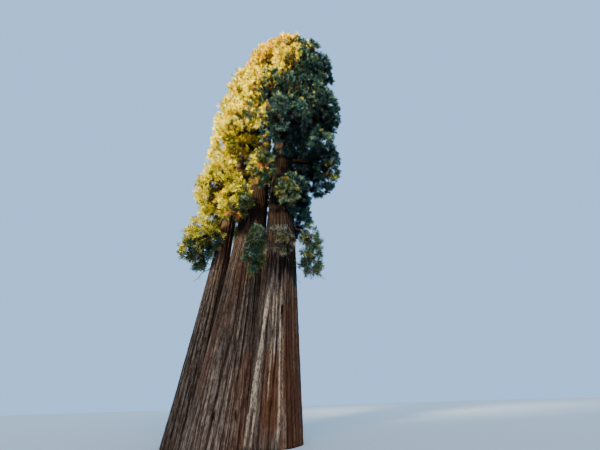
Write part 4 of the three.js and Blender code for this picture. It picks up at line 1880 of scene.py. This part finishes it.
@dataclass(frozen=True)
class Studio:
    """A plain floor, a pale sky, two lamps and the camera at the foot of the tree.

    Attributes:
        floor_side: Side of the floor, in metres of the model.
        floor_colour: Its colour.
        sky_colour: Colour of the sky.
        sky_strength: Its strength.
        look: The contrast of the picture.
        key_place: Middle of the key lamp, in metres of the real tree like the sizes below.
        key_aim: The point that it faces.
        key_radius: Its radius, which softens its shadows.
        key_cone: Full angle of its beam, in degrees.
        key_soft: Share of the beam that fades out.
        key_power: Its power in watts.
        key_colour: Its colour.
        fill_from: The side that the fill comes from.
        fill_power: Its strength.
        fill_width: Its width as the tree sees it, in degrees.
        fill_colour: Its colour.
        camera_back: How far the camera is in front of the tree's origin.
        eye: Height of the camera.
        lens: Its focal length in mm.
        far: How far it sees, in metres of the model.
        pitch: How far it looks up, in degrees.
        yaw: How far it looks to the right.
        roll: How far it leans.
    """

    floor_side: float = 400.0
    floor_colour: str = "#cfd2d2"
    sky_colour: str = "#9fc4ea"
    sky_strength: float = 1.15
    look: str = "AgX - Medium High Contrast"
    key_place: tuple[float, float, float] = (-47.0, -57.0, 46.0)
    key_aim: tuple[float, float, float] = (-1.0, 0.0, 39.0)
    key_radius: float = 8.0
    key_cone: float = 37.5
    key_soft: float = 0.15
    key_power: float = 430_000.0
    key_colour: str = "#fff1cc"
    fill_from: tuple[float, float, float] = (-0.1, -0.85, 0.5)
    fill_power: float = 1.5
    fill_width: float = 60.0
    fill_colour: str = "#ffeed6"
    camera_back: float = 16.0
    eye: float = 1.6
    lens: float = 13.68
    far: float = 1000.0
    pitch: float = 38.16
    yaw: float = 11.5
    roll: float = -1.78

    def floor(self) -> None:
        """A pale floor, level with the cut under the stems."""
        sheet = bmesh.new()
        bmesh.ops.create_grid(sheet, x_segments=1, y_segments=1, size=self.floor_side / 2)
        mesh = bpy.data.meshes.new("floor")
        sheet.to_mesh(mesh)
        sheet.free()
        floor = bpy.data.objects.new("floor", mesh)
        bpy.context.scene.collection.objects.link(floor)
        surface = Surface("pale studio floor")
        surface.shader.inputs["Base Color"].default_value = linear(self.floor_colour)
        surface.shader.inputs["Roughness"].default_value = 0.9
        mesh.materials.append(surface.material)
        floor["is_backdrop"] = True

    def light(self) -> None:
        """A pale sky all round, a warm lamp high on the left that faces the crown, and a weak fill."""
        world = bpy.data.worlds.new("pale sky")
        world.use_nodes = True
        background = world.node_tree.nodes["Background"]
        background.inputs["Color"].default_value = linear(self.sky_colour)
        background.inputs["Strength"].default_value = self.sky_strength
        bpy.context.scene.world = world
        bpy.context.scene.view_settings.look = self.look
        key = bpy.data.lights.new("key", "SPOT")
        key.shadow_soft_size = self.key_radius * SCALE
        key.spot_size = math.radians(self.key_cone)
        key.spot_blend = self.key_soft
        key.energy = self.key_power
        key.color = linear(self.key_colour)[:3]
        fill = bpy.data.lights.new("fill", "SUN")
        fill.energy = self.fill_power
        fill.angle = math.radians(self.fill_width)
        fill.color = linear(self.fill_colour)[:3]
        towards = Vector(self.key_place) - Vector(self.key_aim)
        lamps = ((key, self.key_place, towards), (fill, (0, 0, 0), Vector(self.fill_from)))
        for lamp, place, heading in lamps:
            holder = bpy.data.objects.new(lamp.name, lamp)
            holder.location = Vector(place) * SCALE
            holder.rotation_euler = heading.to_track_quat("Z", "Y").to_euler()
            bpy.context.scene.collection.objects.link(holder)

    def camera(self) -> None:
        """A very wide lens at eye height, tilted up the stems."""
        data = bpy.data.cameras.new("camera")
        data.lens = self.lens
        data.clip_end = self.far
        holder = bpy.data.objects.new("camera", data)
        place = Matrix.Translation((0, -self.camera_back * SCALE, self.eye * SCALE))
        turn = Matrix.Rotation(math.radians(-self.yaw), 4, "Z")
        tilt = Matrix.Rotation(math.radians(90 + self.pitch), 4, "X")
        roll = Matrix.Rotation(math.radians(self.roll), 4, "Z")
        holder.matrix_world = place @ turn @ tilt @ roll
        bpy.context.scene.collection.objects.link(holder)
        bpy.context.scene.camera = holder


# This clump

RIGHT_BARK = StemBark(
    RIGHT,
    Wood.RED_BARK,
    SEED + 10,
    pale_ridges=0.2,
    streaks=(
        Streak(-57.5, 3.5, 0.13, 0.0, 9.5, 1.0),
        Streak(-43, 2.0, 0.06, 0.0, 3.6, 0.9),
        Streak(-51.0, 3.1, 0.08, 1.5, 5.8, 0.85),
        Streak(6, -0.5, 0.06, 0.2, 8.0, 0.9),
        Streak(-18, 0.4, 0.06, 2.0, 8.8, 0.9),
        Streak(-9, 0.2, 0.05, 3.5, 8.5, 0.8),
        Streak(14, -1.0, 0.04, 1.0, 9.0, 0.5),
    ),
    patches=(
        Patch("cinnamon_and_sunspot", (-26, 4), (0.9, 3.4), (7, 1.0), 0.85),
        Patch("cinnamon_and_sunspot", (16, 120), (-1, 6), (14, 3), 0.85),
        Patch("painted_shade_and_dark_marks", (0, 75), (9.1, 11.2), (14, 1.2), 0.85),  # painted shade under the bough, a dark band round the stem
        Patch("painted_shade_and_dark_marks", (-180, 180), (11.5, 60), (25, 3), 0.75),  # the shade of the crown
        Patch("painted_shade_and_dark_marks", (5.5, 9), (6.1, 6.5), (2, 0.15), 0.9),  # a knot
        # painted shade on the stem's right flank
        Patch("painted_shade_and_dark_marks", (22, 120), (-3, 9), (10, 2), 0.3),
    ),
)
MIDDLE_BARK = StemBark(
    MIDDLE,
    Wood.BROWN_BARK,
    SEED + 20,
    streaks=(
        Streak(6, 0.3, 0.035, 0.5, 9.0, 0.4),
        Streak(-28, 0.2, 0.03, 1.0, 8.0, 0.35),
    ),
    patches=(
        # two dark knots
        Patch("painted_shade_and_dark_marks", (21.5, 24.5), (1.1, 1.35), (2, 0.15), 0.85),
        Patch("painted_shade_and_dark_marks", (-12.5, -10), (1.2, 1.4), (2, 0.15), 0.8),
        Patch("cinnamon_and_sunspot", (-30, 60), (13, 19), (20, 2), 0.5),
        # painted shade of the foliage above, all round the stem
        Patch("painted_shade_and_dark_marks", (-180, 180), (5.5, 14), (25, 2.5), 0.4),
        # painted shade of the crown
        Patch("painted_shade_and_dark_marks", (-180, 180), (14, 60), (25, 3), 0.75),
    ),
)
LEFT_BARK = StemBark(
    LEFT,
    Wood.GREY_BARK,
    SEED + 30,
    columns=220,
    pale_ridges=0.25,
    patches=(
        # painted shade on the right flank, in the hollow between the left and middle stems
        Patch("painted_shade_and_dark_marks", (20, 90), (-3, 12), (12, 3), 0.5),
        # darker all round towards the foot
        Patch("painted_shade_and_dark_marks", (-180, 180), (-3, 4), (25, 2.5), 0.3),
        # painted sunlit spot, in the red of fresh bark
        Patch("cinnamon_and_sunspot", (32, 46), (10.8, 11.5), (5, 0.4), 1.0),
        Patch("cinnamon_and_sunspot", (-60, 60), (11, 14), (20, 1), 0.5),
    ),
)
DEAD_LIMBS = (
    DeadLimb(RIGHT, 10.2, (4.9, -1.5, 8.4), 0.05),
    DeadLimb(RIGHT, 10.0, (3.6, -1.3, 8.6), 0.035),
    DeadLimb(RIGHT, 10.4, (4.0, -1.9, 8.2), 0.03),
    DeadLimb(RIGHT, 12.6, (2.6, -1.9, 11.2), 0.03),
    DeadLimb(RIGHT, 12.9, (0.9, -2.6, 10.4), 0.035),
    DeadLimb(RIGHT, 12.2, (1.6, -2.9, 9.7), 0.03),
    DeadLimb(RIGHT, 13.4, (2.2, -2.6, 11.0), 0.03),
    DeadLimb(RIGHT, 11.6, (-0.3, -2.3, 11.5), 0.03),
    DeadLimb(RIGHT, 11.0, (1.9, -2.3, 9.3), 0.05),
    DeadLimb(MIDDLE, 12.0, (-3.0, 3.4, 10.8), 0.05),
    DeadLimb(RIGHT, 11.0, (3.6, 2.2, 9.6), 0.05),
    DeadLimb(LEFT, 10.5, (-5.2, 2.4, 9.4), 0.04),
)
# Painted glints: shafts of low sun painted into the sprays' tints.
GLINTS = (
    Glint((7.6, -0.8, 21.0), 1.5, Palette.GOLDEN_GLINT),
    Glint((6.4, -2.0, 20.4), 1.3, Palette.AMBER_GLINT),
    Glint((4.9, -1.8, 20.0), 0.9, Palette.GOLDEN_GLINT),
    Glint((3.3, -5.6, 27.1), 1.2, Palette.GOLDEN_GLINT),
    Glint((-1.8, -2.4, 12.9), 1.1, Palette.AMBER_GLINT),
    Glint((-0.7, -4.1, 17.7), 0.8, Palette.AMBER_GLINT),
    Glint((1.5, -2.9, 17.6), 0.8, Palette.AMBER_GLINT),
    Glint((-1.2, -3.8, 16.0), 0.8, Palette.AMBER_GLINT),
    Glint((-2.8, -2.1, 12.8), 0.8, Palette.AMBER_GLINT),
    Glint((-2.2, -2.4, 22.0), 2.2, Palette.GOLDEN_GLINT),
)


def main() -> None:
    """Builds the tree and its setting."""
    logging.basicConfig(level=logging.INFO, format="%(name)s: %(message)s")
    studio = Studio()
    studio.camera()
    studio.floor()
    studio.light()
    crown = Crown()
    masses = crown.masses()
    finishes = {wood: wood.value.material() for wood in Wood}
    for bark in (RIGHT_BARK, MIDDLE_BARK, LEFT_BARK):
        bark.build(finishes[bark.wood])
    Boughs(masses).build(finishes[Wood.LIMB_BARK])
    DeadLimbs(DEAD_LIMBS).build(finishes[Wood.DEAD])
    Foliage(crown, masses, glints=GLINTS).build(finishes[Wood.TWIG_BARK])
    boxes = {"cad": CAD_BOX, "visual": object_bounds()}
    {name: [list(corner) for corner in box] for name, box in boxes.items()}


if __name__ == "__main__":
    main()
